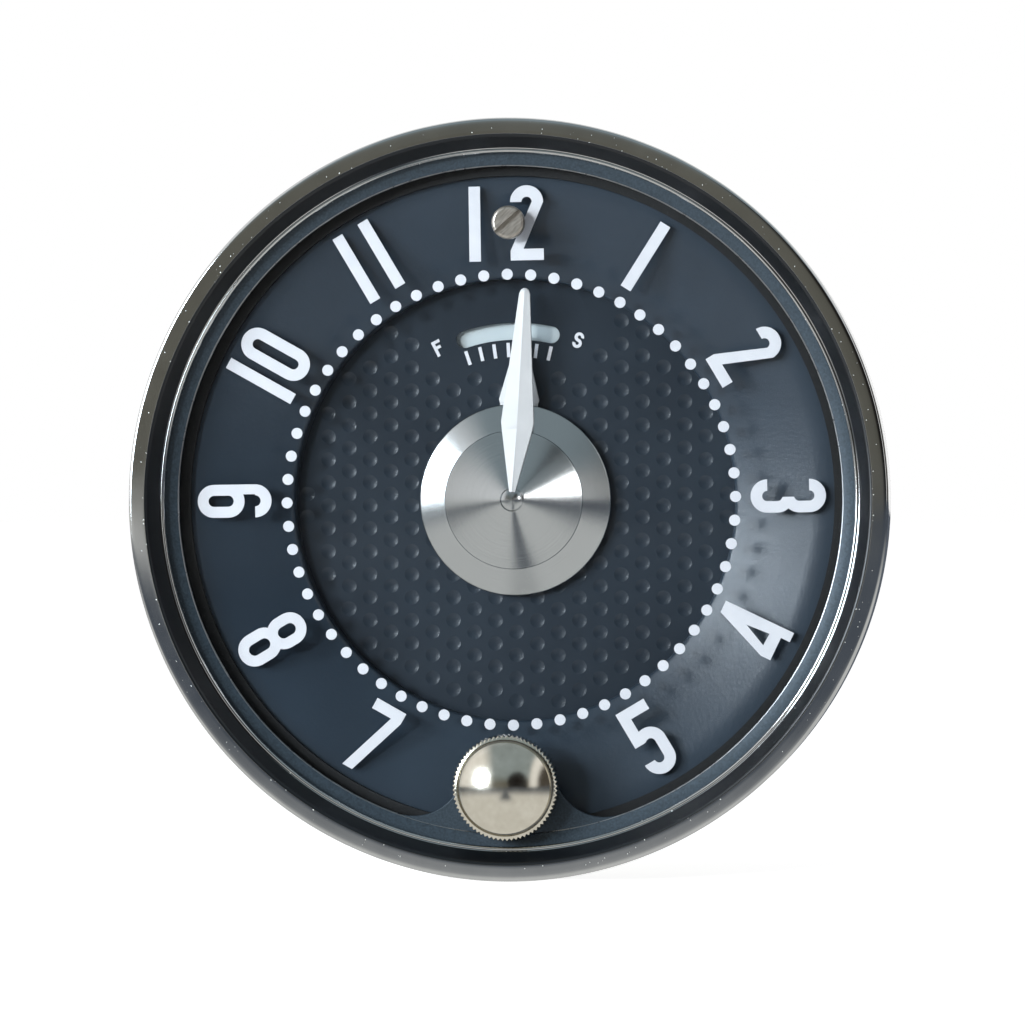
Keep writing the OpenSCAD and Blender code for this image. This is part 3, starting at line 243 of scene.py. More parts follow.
# phenolic moulding: brown-black, half gloss, faint mottling
phenolic, tree = blank("phenolic_moulding")
place = add(tree, "ShaderNodeTexCoord")
mottle = add(tree, "ShaderNodeTexNoise", [("Vector", place, "Object")], Scale=700, Detail=5)
tone = add(tree, "ShaderNodeMix", [("Factor", mottle, "Fac")], data_type="RGBA",
           A=linear("140e0b"), B=linear("33251d"))
resin = add(tree, "ShaderNodeBsdfPrincipled", [("Base Color", tone, "Result")], Roughness=0.34)
add(tree, "ShaderNodeOutputMaterial", [("Surface", resin, "BSDF")])

# brass: yellow metal with fine level brush lines
brass, tree = blank("brushed_brass")
place = add(tree, "ShaderNodeTexCoord")
along = add(tree, "ShaderNodeMapping", [("Vector", place, "Object")], Scale=(150, 150, 5000))
lines = add(tree, "ShaderNodeTexNoise", [("Vector", along, "Vector")], Scale=1, Detail=4)
tone = add(tree, "ShaderNodeMix", [("Factor", lines, "Fac")], data_type="RGBA",
           A=linear("93743a"), B=linear("d2b06a"))
dull = add(tree, "ShaderNodeMapRange", [("Value", lines, "Fac")], To_Min=0.2, To_Max=0.42)
bump = add(tree, "ShaderNodeBump", [("Height", lines, "Fac")], Strength=0.1, Distance=0.00005)
metal = add(tree, "ShaderNodeBsdfPrincipled", [("Base Color", tone, "Result"),
            ("Roughness", dull, "Result"), ("Normal", bump, "Normal")], Metallic=1)
add(tree, "ShaderNodeOutputMaterial", [("Surface", metal, "BSDF")])

block = eased("terminal_block", "terminal_block_moulded", 0.25)
dress(block, "clock_case", phenolic, "phenolic", "terminal_block")
blade = eased("terminal_blade", "terminal_blade_cut", 0.12)
dress(blade, "clock_case", brass, "brass", "terminal_blade")


# ---- movement
# Two round brass plates on pillars with the going train, the hand-setting work and the
# electric rewind between them. Closed in by the can, so the solids stay as they are, apart
# from the spring of the setting stem.

for node in ("front_plate", "back_plate", "plate_pillars", "cover_posts", "dial_posts",
             "dial_bush", "centre_wheel", "third_wheel", "fourth_wheel", "escape_wheel",
             "balance_wheel", "ratchet_wheel", "hour_wheel", "minute_wheel", "set_idler"):
    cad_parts[node].material_slots[0].material = brass
for node in ("pillar_screws", "motion_studs", "centre_arbor", "third_arbor", "fourth_arbor",
             "escape_arbor", "balance_staff", "pallet_lever", "cannon_pinion", "set_pinion",
             "stem_washer"):
    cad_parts[node].material_slots[0].material = steel

# spring steel: tempered blue
blued, tree = blank("blued_spring_steel")
place = add(tree, "ShaderNodeTexCoord")
shade = add(tree, "ShaderNodeTexNoise", [("Vector", place, "Object")], Scale=400, Detail=3)
tone = add(tree, "ShaderNodeMix", [("Factor", shade, "Fac")], data_type="RGBA",
           A=linear("2c3850"), B=linear("5c6a86"))
metal = add(tree, "ShaderNodeBsdfPrincipled", [("Base Color", tone, "Result")], Metallic=1,
            Roughness=0.25)
add(tree, "ShaderNodeOutputMaterial", [("Surface", metal, "BSDF")])
for node in ("hairspring", "armature_spring", "contact_spring"):
    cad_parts[node].material_slots[0].material = blued

# the coil round the stem is copied with a mesh of its own; on the clock it is pressed together
# against its bush when the knob is pulled
coil = eased("stem_spring", "stem_spring_coil", 0)
dress(coil, "clock_case", blued, "spring_steel", "stem_spring")
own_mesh(coil)

# soft iron: dark, dull, a little scaled
iron, tree = blank("soft_iron")
place = add(tree, "ShaderNodeTexCoord")
scaled = add(tree, "ShaderNodeTexNoise", [("Vector", place, "Object")], Scale=500, Detail=6)
tone = add(tree, "ShaderNodeMix", [("Factor", scaled, "Fac")], data_type="RGBA",
           A=linear("3c3e40"), B=linear("6c6e70"))
dull = add(tree, "ShaderNodeMapRange", [("Value", scaled, "Fac")], To_Min=0.35, To_Max=0.7)
metal = add(tree, "ShaderNodeBsdfPrincipled", [("Base Color", tone, "Result"),
            ("Roughness", dull, "Result")], Metallic=1)
add(tree, "ShaderNodeOutputMaterial", [("Surface", metal, "BSDF")])
for node in ("magnet_yoke", "armature"):
    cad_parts[node].material_slots[0].material = iron

# enamelled copper wire: close turns, red-brown gloss
copper, tree = blank("enamelled_copper_wire")
place = add(tree, "ShaderNodeTexCoord")
turns = add(tree, "ShaderNodeTexWave", [("Vector", place, "Object")], bands_direction="Z",
            Scale=1250)
tone = add(tree, "ShaderNodeMix", [("Factor", turns, "Fac")], data_type="RGBA",
           A=linear("4a2010"), B=linear("b5673c"))
bump = add(tree, "ShaderNodeBump", [("Height", turns, "Fac")], Strength=0.5, Distance=0.0001)
metal = add(tree, "ShaderNodeBsdfPrincipled", [("Base Color", tone, "Result"),
            ("Normal", bump, "Normal")], Metallic=0.8, Roughness=0.3)
add(tree, "ShaderNodeOutputMaterial", [("Surface", metal, "BSDF")])
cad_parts["magnet_coil"].material_slots[0].material = copper


# ---- regulator arm
# The sheet sector behind the dial that the regulator screw moves. Its flag is enamelled pale
# blue-grey and shows in the slot of the scale.

# pale enamel: matt blue-grey
pale, tree = blank("pale_flag_enamel")
place = add(tree, "ShaderNodeTexCoord")
cloud = add(tree, "ShaderNodeTexNoise", [("Vector", place, "Object")], Scale=300, Detail=3)
tone = add(tree, "ShaderNodeMix", [("Factor", cloud, "Fac")], data_type="RGBA",
           A=linear("c4d3d8"), B=linear("d8e4e7"))
paint = add(tree, "ShaderNodeBsdfPrincipled", [("Base Color", tone, "Result")], Roughness=0.45)
add(tree, "ShaderNodeOutputMaterial", [("Surface", paint, "BSDF")])
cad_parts["regulator_arm"].material_slots[0].material = pale


# ---- dial plate
# The flat recessed dial, stamped all over with shallow round dimples in staggered rows, except
# round the regulator scale. Enamelled charcoal.

def arc(cx, cy, rx, ry, start, end, steps):
    """Points of an arc, for an outline."""
    return [(cx + rx * cos(radians(start + (end - start) * i / steps)),
             cy + ry * sin(radians(start + (end - start) * i / steps)))
            for i in range(steps + 1)]


def carve(piece, tool):
    """Cuts a tool out of a piece and throws the tool away."""
    cut = piece.modifiers.new("cut", "BOOLEAN")
    cut.operation = "DIFFERENCE"
    cut.object = tool
    pick(piece)
    bpy.ops.object.modifier_apply(modifier="cut")
    bpy.data.objects.remove(tool)


# a dimple, the grid of dimples, the stamped band and the plain patch round the scale, in mm;
# the half width and the turn of the patch in degrees
wide, deep = 1.75, 0.13
column, row, first = 2.5, 2.73, 0.71
band_inner, band_outer = 8, 25.2
scale_low, scale_half, scale_turn = 14.9, 31, 3
dial_y = 2.3

dial = eased("dial_plate", "dial_plate_stamped", 0)
ball = (wide ** 2 / 4 + deep ** 2) / (2 * deep)
steep = degrees(atan2(wide / 2, ball - deep))
punch = turned("punch", [(0.01, 0.3), (wide / 2, 0.3)]
               + arc(0, ball - deep, ball, ball, steep - 90, -89.7, 4), 18)
punches = []
for i in range(-10, 11):
    for j in range(-10, 11):
        x = i * column
        z = j * row + (row / 2 if i % 2 else 0) + first
        by_scale = abs(degrees(atan2(x, z)) + scale_turn) < scale_half and z > scale_low
        if by_scale or not band_inner < hypot(x, z) < band_outer:
            continue
        one = punch.copy()
        one.data = punch.data.copy()
        bpy.context.scene.collection.objects.link(one)
        one.location = (x / 1000, dial_y / 1000, z / 1000)
        punches.append(one)
bpy.data.objects.remove(punch)
pick(*punches)
bpy.ops.object.join()
carve(dial, punches[0])
bpy.ops.object.shade_smooth_by_angle(angle=radians(8))

# charcoal enamel: half gloss, so each dimple shows a soft bright edge
charcoal, tree = blank("charcoal_dial_enamel")
place = add(tree, "ShaderNodeTexCoord")
peel = add(tree, "ShaderNodeTexNoise", [("Vector", place, "Object")], Scale=1500, Detail=3)
cloud = add(tree, "ShaderNodeTexNoise", [("Vector", place, "Object")], Scale=70, Detail=3)
tone = add(tree, "ShaderNodeMix", [("Factor", cloud, "Fac")], data_type="RGBA",
           A=linear("1e262f"), B=linear("303a44"))
bump = add(tree, "ShaderNodeBump", [("Height", peel, "Fac")], Strength=0.15, Distance=0.00004)
paint = add(tree, "ShaderNodeBsdfPrincipled", [("Base Color", tone, "Result"),
            ("Normal", bump, "Normal")], Roughness=0.32)
add(tree, "ShaderNodeOutputMaterial", [("Surface", paint, "BSDF")])
dress(dial, "clock_case", charcoal, "black_enamel", "dial_plate")


# ---- white print
# The regulator scale on the dial, and the numerals and minute dots on the back of the lens.
# Screen-printed in thick white ink.

# white ink: matt, very slightly blue
ink, tree = blank("white_screen_ink")
place = add(tree, "ShaderNodeTexCoord")
cloud = add(tree, "ShaderNodeTexNoise", [("Vector", place, "Object")], Scale=500, Detail=3)
tone = add(tree, "ShaderNodeMix", [("Factor", cloud, "Fac")], data_type="RGBA",
           A=linear("dcdfe6"), B=linear("eff1f5"))
paint = add(tree, "ShaderNodeBsdfPrincipled", [("Base Color", tone, "Result")], Roughness=0.5)
add(tree, "ShaderNodeOutputMaterial", [("Surface", paint, "BSDF")])
for node in ("scale_print", "numerals", "minute_dots"):
    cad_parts[node].material_slots[0].material = ink


# ---- chapter ring
# The dished ring under the lens that frames the dial. Pressed steel in stoved black enamel,
# with holes for the setting stem and the regulator screw.

# stoved enamel: satin blue-black with a faint orange peel
enamel, tree = blank("black_stoved_enamel")
place = add(tree, "ShaderNodeTexCoord")
peel = add(tree, "ShaderNodeTexNoise", [("Vector", place, "Object")], Scale=2200, Detail=3)
cloud = add(tree, "ShaderNodeTexNoise", [("Vector", place, "Object")], Scale=60, Detail=3)
tone = add(tree, "ShaderNodeMix", [("Factor", cloud, "Fac")], data_type="RGBA",
           A=linear("232d37"), B=linear("374451"))
dull = add(tree, "ShaderNodeMapRange", [("Value", peel, "Fac")], To_Min=0.25, To_Max=0.35)
bump = add(tree, "ShaderNodeBump", [("Height", peel, "Fac")], Strength=0.3, Distance=0.00006)
paint = add(tree, "ShaderNodeBsdfPrincipled", [("Base Color", tone, "Result"),
            ("Roughness", dull, "Result"), ("Normal", bump, "Normal")])
add(tree, "ShaderNodeOutputMaterial", [("Surface", paint, "BSDF")])

ring = turned("chapter_ring_pressed", [(43.5, 2.8), (43.5, 3.6)]
              + arc(38.65, -7.46, 11.06, 11.06, 90, 107.48, 8)
              + [(26.7, 0.37), (26.5, 0.29), (26.33, 0.18), (26.2, 0.02), (26.13, -0.17),
                 (26.1, -0.4), (26.1, -2.3), (26.9, -2.3), (26.9, -0.45), (36.9, 2.78),
                 (37.1, 2.8), (43.5, 2.8)], 192)
stem_z, screw_z = -33.5, 32.4
for hole_z, radius in ((stem_z, 2.1), (screw_z, 1.05)):
    drill = turned("drill", [(0.01, -1), (radius, -1), (radius, 5), (0.01, 5)], 48, (0, hole_z))
    carve(ring, drill)
bpy.ops.object.shade_smooth_by_angle(angle=radians(30))
dress(ring, "clock_case", enamel, "black_enamel", "chapter_ring")


# ---- hands
# Two pressed sheet hands with a ridge, in white enamel, on a polished hub: the hour hand
# under a conical ring, the minute hand lying on a pointed cap.

# hand enamel: white, half gloss
white, tree = blank("white_hand_enamel")
place = add(tree, "ShaderNodeTexCoord")
cloud = add(tree, "ShaderNodeTexNoise", [("Vector", place, "Object")], Scale=400, Detail=4)
tone = add(tree, "ShaderNodeMix", [("Factor", cloud, "Fac")], data_type="RGBA",
           A=linear("d9dbdc"), B=linear("edeeee"))
paint = add(tree, "ShaderNodeBsdfPrincipled", [("Base Color", tone, "Result")], Roughness=0.35)
add(tree, "ShaderNodeOutputMaterial", [("Surface", paint, "BSDF")])
hour = eased("hour_hand", "hour_hand_pressed", 0.06)
dress(hour, "hour_hand_group", white, "white_enamel", "hour_hand")
minute = eased("minute_hand", "minute_hand_pressed", 0.06)
dress(minute, "minute_hand_group", white, "white_enamel", "minute_hand")

# spun nickel: polished, with fine turning rings that draw the light into wedges. The rings
# are drawn 0.1 mm apart, coarser than real ones, so that they show
spun, tree = blank("spun_nickel")
place = add(tree, "ShaderNodeTexCoord")
across = add(tree, "ShaderNodeMapping", [("Vector", place, "Object")], Scale=(10000, 0, 10000))
radial = add(tree, "ShaderNodeVectorMath", [(0, across, "Vector")], operation="LENGTH")
rings = add(tree, "ShaderNodeTexNoise", [("W", radial, "Value")], noise_dimensions="1D", Scale=1,
            Detail=2)
tone = add(tree, "ShaderNodeMix", [("Factor", rings, "Fac")], data_type="RGBA",
           A=linear("bfc4c6"), B=linear("e2e6e7"))
dull = add(tree, "ShaderNodeMapRange", [("Value", rings, "Fac")], To_Min=0.12, To_Max=0.28)
around = add(tree, "ShaderNodeTangent", direction_type="RADIAL", axis="Y")
metal = add(tree, "ShaderNodeBsdfPrincipled", [("Base Color", tone, "Result"),
            ("Roughness", dull, "Result"), ("Tangent", around, "Tangent")], Metallic=1,
            Anisotropic=0.7, Anisotropic_Rotation=0.25)
add(tree, "ShaderNodeOutputMaterial", [("Surface", metal, "BSDF")])

hub = turned("hour_hub_spun", [(10.95, -1.36), (11.3, -1.36), (11.35, -1.3), (11.35, -1.05),
             (11.3, -0.98), (11.2, -0.93), (7.95, 0.27), (7.9, 0.3), (2.31, 0.3), (2.31, -1.3),
             (3.6, -1.3), (3.6, -0.1), (7.9, -0.1), (10.95, -1.36)], 160)
dress(hub, "hour_hand_group", spun, "nickel", "hour_hub")
cap = turned("minute_cone_spun", [(8.15, 0.7), (8.2, 0.78), (8.2, 1.04), (8.14, 1.12),
             (8.0, 1.16), (1.5, 2.82), (1.38, 2.88), (1.3, 3.0), (1.12, 3.12), (0.7, 3.22),
             (0.01, 3.27), (0.01, 2.0), (1.66, 2.0), (1.66, 0.5), (2.3, 0.5), (2.3, 2.11),
             (8.15, 0.7)], 160)
dress(cap, "minute_hand_group", spun, "nickel", "minute_cone")


# ---- lens
# The flat clear acrylic disc. Its edge lies in a rubber seat under the retaining ring.

# rubber: matt black with a fine grain
rubber, tree = blank("black_rubber")
place = add(tree, "ShaderNodeTexCoord")
grain = add(tree, "ShaderNodeTexNoise", [("Vector", place, "Object")], Scale=2000, Detail=4)
tone = add(tree, "ShaderNodeMix", [("Factor", grain, "Fac")], data_type="RGBA",
           A=linear("111213"), B=linear("242526"))
bump = add(tree, "ShaderNodeBump", [("Height", grain, "Fac")], Strength=0.2, Distance=0.00005)
soft = add(tree, "ShaderNodeBsdfPrincipled", [("Base Color", tone, "Result"),
           ("Normal", bump, "Normal")], Roughness=0.7)
add(tree, "ShaderNodeOutputMaterial", [("Surface", soft, "BSDF")])
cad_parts["lens_seat"].material_slots[0].material = rubber

# clear acrylic: almost nothing but a faint dark tint
acrylic, tree = blank("clear_acrylic")
place = add(tree, "ShaderNodeTexCoord")
faint = add(tree, "ShaderNodeTexNoise", [("Vector", place, "Object")], Scale=80, Detail=3)
tone = add(tree, "ShaderNodeMix", [("Factor", faint, "Fac")], data_type="RGBA",
           A=linear("0b0c0d"), B=linear("151617"))
clear = add(tree, "ShaderNodeBsdfPrincipled", [("Base Color", tone, "Result")], Roughness=0.02,
            IOR=1.49, Alpha=0.06)
add(tree, "ShaderNodeOutputMaterial", [("Surface", clear, "BSDF")])
lens = eased("lens", "lens_clear", 0.1)

# the back of the lens is drawn forward a little, clear of the printed ink
back_y, clear_of_ink = -0.00466, 0.00003
for v in lens.data.vertices:
    v.select = v.co.y > back_y
bpy.ops.object.mode_set(mode="EDIT")
bpy.ops.transform.translate(value=(0, -clear_of_ink, 0))
bpy.ops.object.mode_set(mode="OBJECT")
dress(lens, "clock_case", acrylic, "clear_acrylic", "lens")


# ---- retaining ring
# The satin grey ring that clamps the lens, with a gusset round the setting stem. The bush of
# the stem sits in the gusset.

# satin grey: dull blue-grey plate with a very fine speckle
satin, tree = blank("satin_grey_ring")
place = add(tree, "ShaderNodeTexCoord")
speck = add(tree, "ShaderNodeTexNoise", [("Vector", place, "Object")], Scale=4200, Detail=4)
tone = add(tree, "ShaderNodeMix", [("Factor", speck, "Fac")], data_type="RGBA",
           A=linear("151c22"), B=linear("46545f"))
bump = add(tree, "ShaderNodeBump", [("Height", speck, "Fac")], Strength=0.12, Distance=0.00004)
metal = add(tree, "ShaderNodeBsdfPrincipled", [("Base Color", tone, "Result"),
            ("Normal", bump, "Normal")], Metallic=0.3, Roughness=0.4)
add(tree, "ShaderNodeOutputMaterial", [("Surface", metal, "BSDF")])
retainer = eased("lens_retainer", "lens_retainer_satin", 0.12)

# its flat front sinks a little and a dished ring lies on it
front_y, sink = -0.00685, 0.0003
for v in retainer.data.vertices:
    v.select = v.co.y < front_y
bpy.ops.object.mode_set(mode="EDIT")
bpy.ops.transform.translate(value=(0, sink, 0))
bpy.ops.object.mode_set(mode="OBJECT")
dish = turned("dish", [(39.0, 6.3), (39.0, 6.5), (39.03, 6.6), (39.1, 6.68), (39.2, 6.73),
              (40.9, 6.99), (41.0, 7.0), (41.0, 6.3), (39.0, 6.3)], 192)
pick(retainer, dish)
bpy.ops.object.join()
dress(retainer, "clock_case", satin, "satin_ring", "lens_retainer")

# a thin steel ring on the turned inner edge stands for the bright line of light along it: a
# painted highlight
rim = turned("lens_retainer_highlight_edge", [(38.99, 6.5), (38.98, 6.6), (39.02, 6.69), (39.12, 6.745),
             (39.14, 6.7), (39.06, 6.6), (39.02, 6.5), (38.99, 6.5)], 192)
rim.data.materials.append(steel)
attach(rim, "clock_case")


# ---- bezel
# The rolled brass ring, chromium plated, that holds the lens stack to the barrel. It has a
# flat face, a rolled edge, a steep inner slope and a turned-in lip. Pitted by age.

# old chromium: dark mirror with a scatter of tiny pale pits
chrome, tree = blank("old_chromium_plate")
place = add(tree, "ShaderNodeTexCoord")
haze = add(tree, "ShaderNodeTexNoise", [("Vector", place, "Object")], Scale=220, Detail=5)
pits = add(tree, "ShaderNodeTexVoronoi", [("Vector", place, "Object")], Scale=2000)
near = add(tree, "ShaderNodeMapRange", [("Value", pits, "Distance")], From_Min=0.16,
           From_Max=0.1)
some = add(tree, "ShaderNodeMapRange", [("Value", pits, "Color")], From_Min=0.66, From_Max=0.69)
spots = add(tree, "ShaderNodeMath", [(0, near, "Result"), (1, some, "Result")],
            operation="MULTIPLY")
tone = add(tree, "ShaderNodeMix", [("Factor", haze, "Fac")], data_type="RGBA",
           A=linear("b4b6b7"), B=linear("d8d9d8"))
spotted = add(tree, "ShaderNodeMix", [("Factor", spots, "Value"), ("A", tone, "Result")],
              data_type="RGBA", B=linear("f4f4ee"))
dull = add(tree, "ShaderNodeMapRange", [("Value", haze, "Fac")], To_Min=0.03, To_Max=0.13)
rough = add(tree, "ShaderNodeMix", [("Factor", spots, "Value"), ("A", dull, "Result")], B=0.7)
bump = add(tree, "ShaderNodeBump", [("Height", spots, "Value")], Strength=0.3, Distance=0.00004)
metal = add(tree, "ShaderNodeBsdfPrincipled", [("Base Color", spotted, "Result"),
            ("Roughness", rough, "Result"), ("Normal", bump, "Normal")], Metallic=1)
add(tree, "ShaderNodeOutputMaterial", [("Surface", metal, "BSDF")])

bezel = turned("bezel_rolled", [(41.5, 1.2), (43.95, 1.2)] + arc(43.95, 1.7, 0.5, 0.5, -75, 0, 6)
               + arc(44.05, 9.53, 0.4, 0.4, 0, 87, 10)
               + [(43.8, 9.945), (43.4, 9.962), (43.0, 9.978), (42.7, 9.99)]
               + arc(42.6, 9.49, 0.5, 0.5, 90, 144, 8) + [(41.06, 8.2)]
               + arc(40.78, 7.95, 0.28, 0.28, 50, 180, 9)
               + [(40.5, 7.0), (41.3, 7.0), (41.3, 7.6), (42.65, 9.2), (43.6, 9.08),
                  (43.65, 7.88), (43.65, 2.0), (41.5, 2.0), (41.5, 1.2)], 256)
dress(bezel, "clock_case", chrome, "chrome", "bezel")

# a black band laid over the chrome of the shoulder and the inner slope: dense, smooth, with a
# faint cloud
slope_black, tree = blank("black_slope_band")
place = add(tree, "ShaderNodeTexCoord")
cloud = add(tree, "ShaderNodeTexNoise", [("Vector", place, "Object")], Scale=90, Detail=3)
tone = add(tree, "ShaderNodeMix", [("Factor", cloud, "Fac")], data_type="RGBA",
           A=linear("07090c"), B=linear("12161b"))
paint = add(tree, "ShaderNodeBsdfPrincipled", [("Base Color", tone, "Result")], Roughness=0.3)
add(tree, "ShaderNodeOutputMaterial", [("Surface", paint, "BSDF")])
shoulder = arc(42.6, 9.49, 0.52, 0.52, 94, 144, 6)
slope = turned("bezel_slope_black", shoulder + [(41.04, 8.215), (41.07, 8.195)]
               + arc(42.6, 9.49, 0.49, 0.49, 144, 94, 6) + shoulder[:1], 256)
slope.data.materials.append(slope_black)
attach(slope, "clock_case")


# ---- panel gasket
# The flat rubber ring between the bezel and the dash.

gasket = turned("panel_gasket_moulded", [(41.4, 0.2), (41.6, 0), (44.0, 0), (44.2, 0.2),
                (44.2, 1.0), (44.0, 1.2), (41.6, 1.2), (41.4, 1.0), (41.4, 0.2)], 160)
dress(gasket, "clock_case", rubber, "black_rubber", "panel_gasket")


# ---- setting knob
# The turned brass knob, nickel plated, with a knurled skirt, a groove and a domed cap, on a
# stem that runs in a bush through the lens.

# warm nickel: yellowish mirror, slightly soft
nickel, tree = blank("warm_nickel_plate")
place = add(tree, "ShaderNodeTexCoord")
fine = add(tree, "ShaderNodeTexNoise", [("Vector", place, "Object")], Scale=700, Detail=4)
tone = add(tree, "ShaderNodeMix", [("Factor", fine, "Fac")], data_type="RGBA",
           A=linear("c8c2b3"), B=linear("e8e3d6"))
dull = add(tree, "ShaderNodeMapRange", [("Value", fine, "Fac")], To_Min=0.1, To_Max=0.24)
metal = add(tree, "ShaderNodeBsdfPrincipled", [("Base Color", tone, "Result"),
            ("Roughness", dull, "Result")], Metallic=1)
add(tree, "ShaderNodeOutputMaterial", [("Surface", metal, "BSDF")])
for node in ("set_stem", "stem_bush"):
    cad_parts[node].material_slots[0].material = nickel

knob = turned("set_knob_turned", [(4.9, 10.2), (5.2, 10.9), (5.27, 11.05), (5.3, 11.15)]
              + arc(0, 5.92, 7.48, 7.48, 45, 89.9, 18) + [(0.01, 10.2), (4.9, 10.2)], 128,
              (0, stem_z))

# every second line of corners is drawn in, which leaves 72 teeth
corners, tooth_from, draw_in = 144, 0.00592, 0.957
skirt = turned("skirt", [(4.9, 10.2), (5.5, 10.2), (5.52, 10.7), (5.56, 10.8), (5.64, 10.85),
               (5.95, 10.8), (6.12, 10.68), (6.2, 10.5), (6.2, 8.2), (6.12, 8.0), (5.9, 7.9),
               (1.02, 7.9), (1.02, 10.2), (4.9, 10.2)], corners)
bpy.ops.object.mode_set(mode="EDIT")
bpy.ops.mesh.select_all(action="DESELECT")
bpy.ops.object.mode_set(mode="OBJECT")
for v in skirt.data.vertices:
    corner = round(degrees(atan2(v.co.x, v.co.z)) / (360 / corners))
    v.select = hypot(v.co.x, v.co.z) > tooth_from and corner % 2 == 0
bpy.ops.object.mode_set(mode="EDIT")
bpy.ops.transform.resize(value=(draw_in, 1, draw_in), center_override=(0, 0, 0))
bpy.ops.object.mode_set(mode="OBJECT")
skirt.location = (0, 0, stem_z / 1000)
pick(knob, skirt)
bpy.ops.object.join()
bpy.ops.object.shade_smooth_by_angle(angle=radians(30))
dress(knob, "setting_knob", nickel, "nickel", "set_knob")


# ---- regulator screw
# The small slotted screw through the lens that moves the regulator arm.

# worn nickel: half dull, with rub marks along the slot
slot_turn = 42
worn, tree = blank("worn_nickel")
place = add(tree, "ShaderNodeTexCoord")
along = add(tree, "ShaderNodeMapping", [("Vector", place, "Object")],
            Rotation=(0, radians(slot_turn), 0))
rubbed = add(tree, "ShaderNodeMapping", [("Vector", along, "Vector")], Scale=(900, 900, 5000))
rub = add(tree, "ShaderNodeTexNoise", [("Vector", rubbed, "Vector")], Scale=1, Detail=4)
tone = add(tree, "ShaderNodeMix", [("Factor", rub, "Fac")], data_type="RGBA",
           A=linear("6f675e"), B=linear("d9d2c8"))
dull = add(tree, "ShaderNodeMapRange", [("Value", rub, "Fac")], To_Min=0.2, To_Max=0.45)
metal = add(tree, "ShaderNodeBsdfPrincipled", [("Base Color", tone, "Result"),
            ("Roughness", dull, "Result")], Metallic=0.8)
add(tree, "ShaderNodeOutputMaterial", [("Surface", metal, "BSDF")])
screw = eased("regulator_screw", "regulator_screw_eased", 0)

# only the round rim of the head is eased, and the slot keeps its sharp edges
top = min(v.co.y for v in screw.data.vertices)
rim_from, short = 0.0019, 0.001
weights = screw.data.attributes.new("bevel_weight_edge", "FLOAT", "EDGE")
for line in screw.data.edges:
    a, b = (screw.data.vertices[i].co for i in line.vertices)
    on_top = max(a.y, b.y) < top + 1e-5
    on_rim = hypot(a.x, a.z - screw_z / 1000) > rim_from
    if on_top and on_rim and (a - b).length < short:
        weights.data[line.index].value = 1
bevel = screw.modifiers.new("rim", "BEVEL")
bevel.width = 0.00038
bevel.segments = 4
bevel.limit_method = "WEIGHT"
bpy.ops.object.modifier_apply(modifier="rim")
level(screw)
dress(screw, "regulator_screw_group", worn, "nickel", "regulator_screw")


# ---- studio
# White ground and a white surround; in front a dim room with a dark figure and a bright strip
# on the right, which the bright metal reflects. A small key lamp and a large window from the
# left, and two lamps from the right for the cone of the hub.

bpy.ops.object.select_all(action="DESELECT")
bpy.ops.mesh.primitive_plane_add(size=40, location=(0, 0, -0.0447))
floor = bpy.context.object
floor.name = "floor"
ground, tree = blank("white_ground")
path = add(tree, "ShaderNodeLightPath")
matt = add(tree, "ShaderNodeBsdfDiffuse", Color=linear("f2f2f2"))
lift = add(tree, "ShaderNodeEmission", [("Strength", path, "Is Camera Ray")],
           Color=(0.85, 0.85, 0.85, 1))
lit = add(tree, "ShaderNodeAddShader", [(0, matt, "BSDF"), (1, lift, "Emission")])

# in the mirror of the metal the ground is dark where it is seen level, and has a dark streak
tilt = add(tree, "ShaderNodeLayerWeight", Blend=0.5)
grazing = add(tree, "ShaderNodeMapRange", [("Value", tilt, "Facing")], From_Min=0.74,
              From_Max=0.92)
place = add(tree, "ShaderNodeTexCoord")
spot = add(tree, "ShaderNodeSeparateXYZ", [("Vector", place, "Object")])
front = add(tree, "ShaderNodeMapRange", [("Value", spot, "X")], From_Min=-0.6, From_Max=-0.3)
distant = add(tree, "ShaderNodeMath", [(0, grazing, "Result"), (1, front, "Result")],
              operation="MULTIPLY")
aside = add(tree, "ShaderNodeMath", [(0, spot, "X")], operation="ABSOLUTE")
narrow = add(tree, "ShaderNodeMapRange", [("Value", aside, "Value")], From_Min=0.009,
             From_Max=0.003)
off = add(tree, "ShaderNodeMapRange", [("Value", spot, "Y")], From_Min=-0.03, From_Max=-0.045)
streak = add(tree, "ShaderNodeMath", [(0, narrow, "Result"), (1, off, "Result")],
             operation="MULTIPLY")
dark = add(tree, "ShaderNodeMath", [(0, distant, "Value"), (1, streak, "Value")],
           operation="MAXIMUM")
gloss = add(tree, "ShaderNodeMix", [("Factor", dark, "Value")], data_type="RGBA",
            A=(0.75, 0.75, 0.73, 1), B=(0.1, 0.115, 0.14, 1))
glow = add(tree, "ShaderNodeEmission", [("Color", gloss, "Result")])
both = add(tree, "ShaderNodeMixShader", [(0, path, "Is Glossy Ray"), (1, lit, "Shader"),
           (2, glow, "Emission")])
add(tree, "ShaderNodeOutputMaterial", [("Surface", both, "Shader")])
floor.data.materials.append(ground)

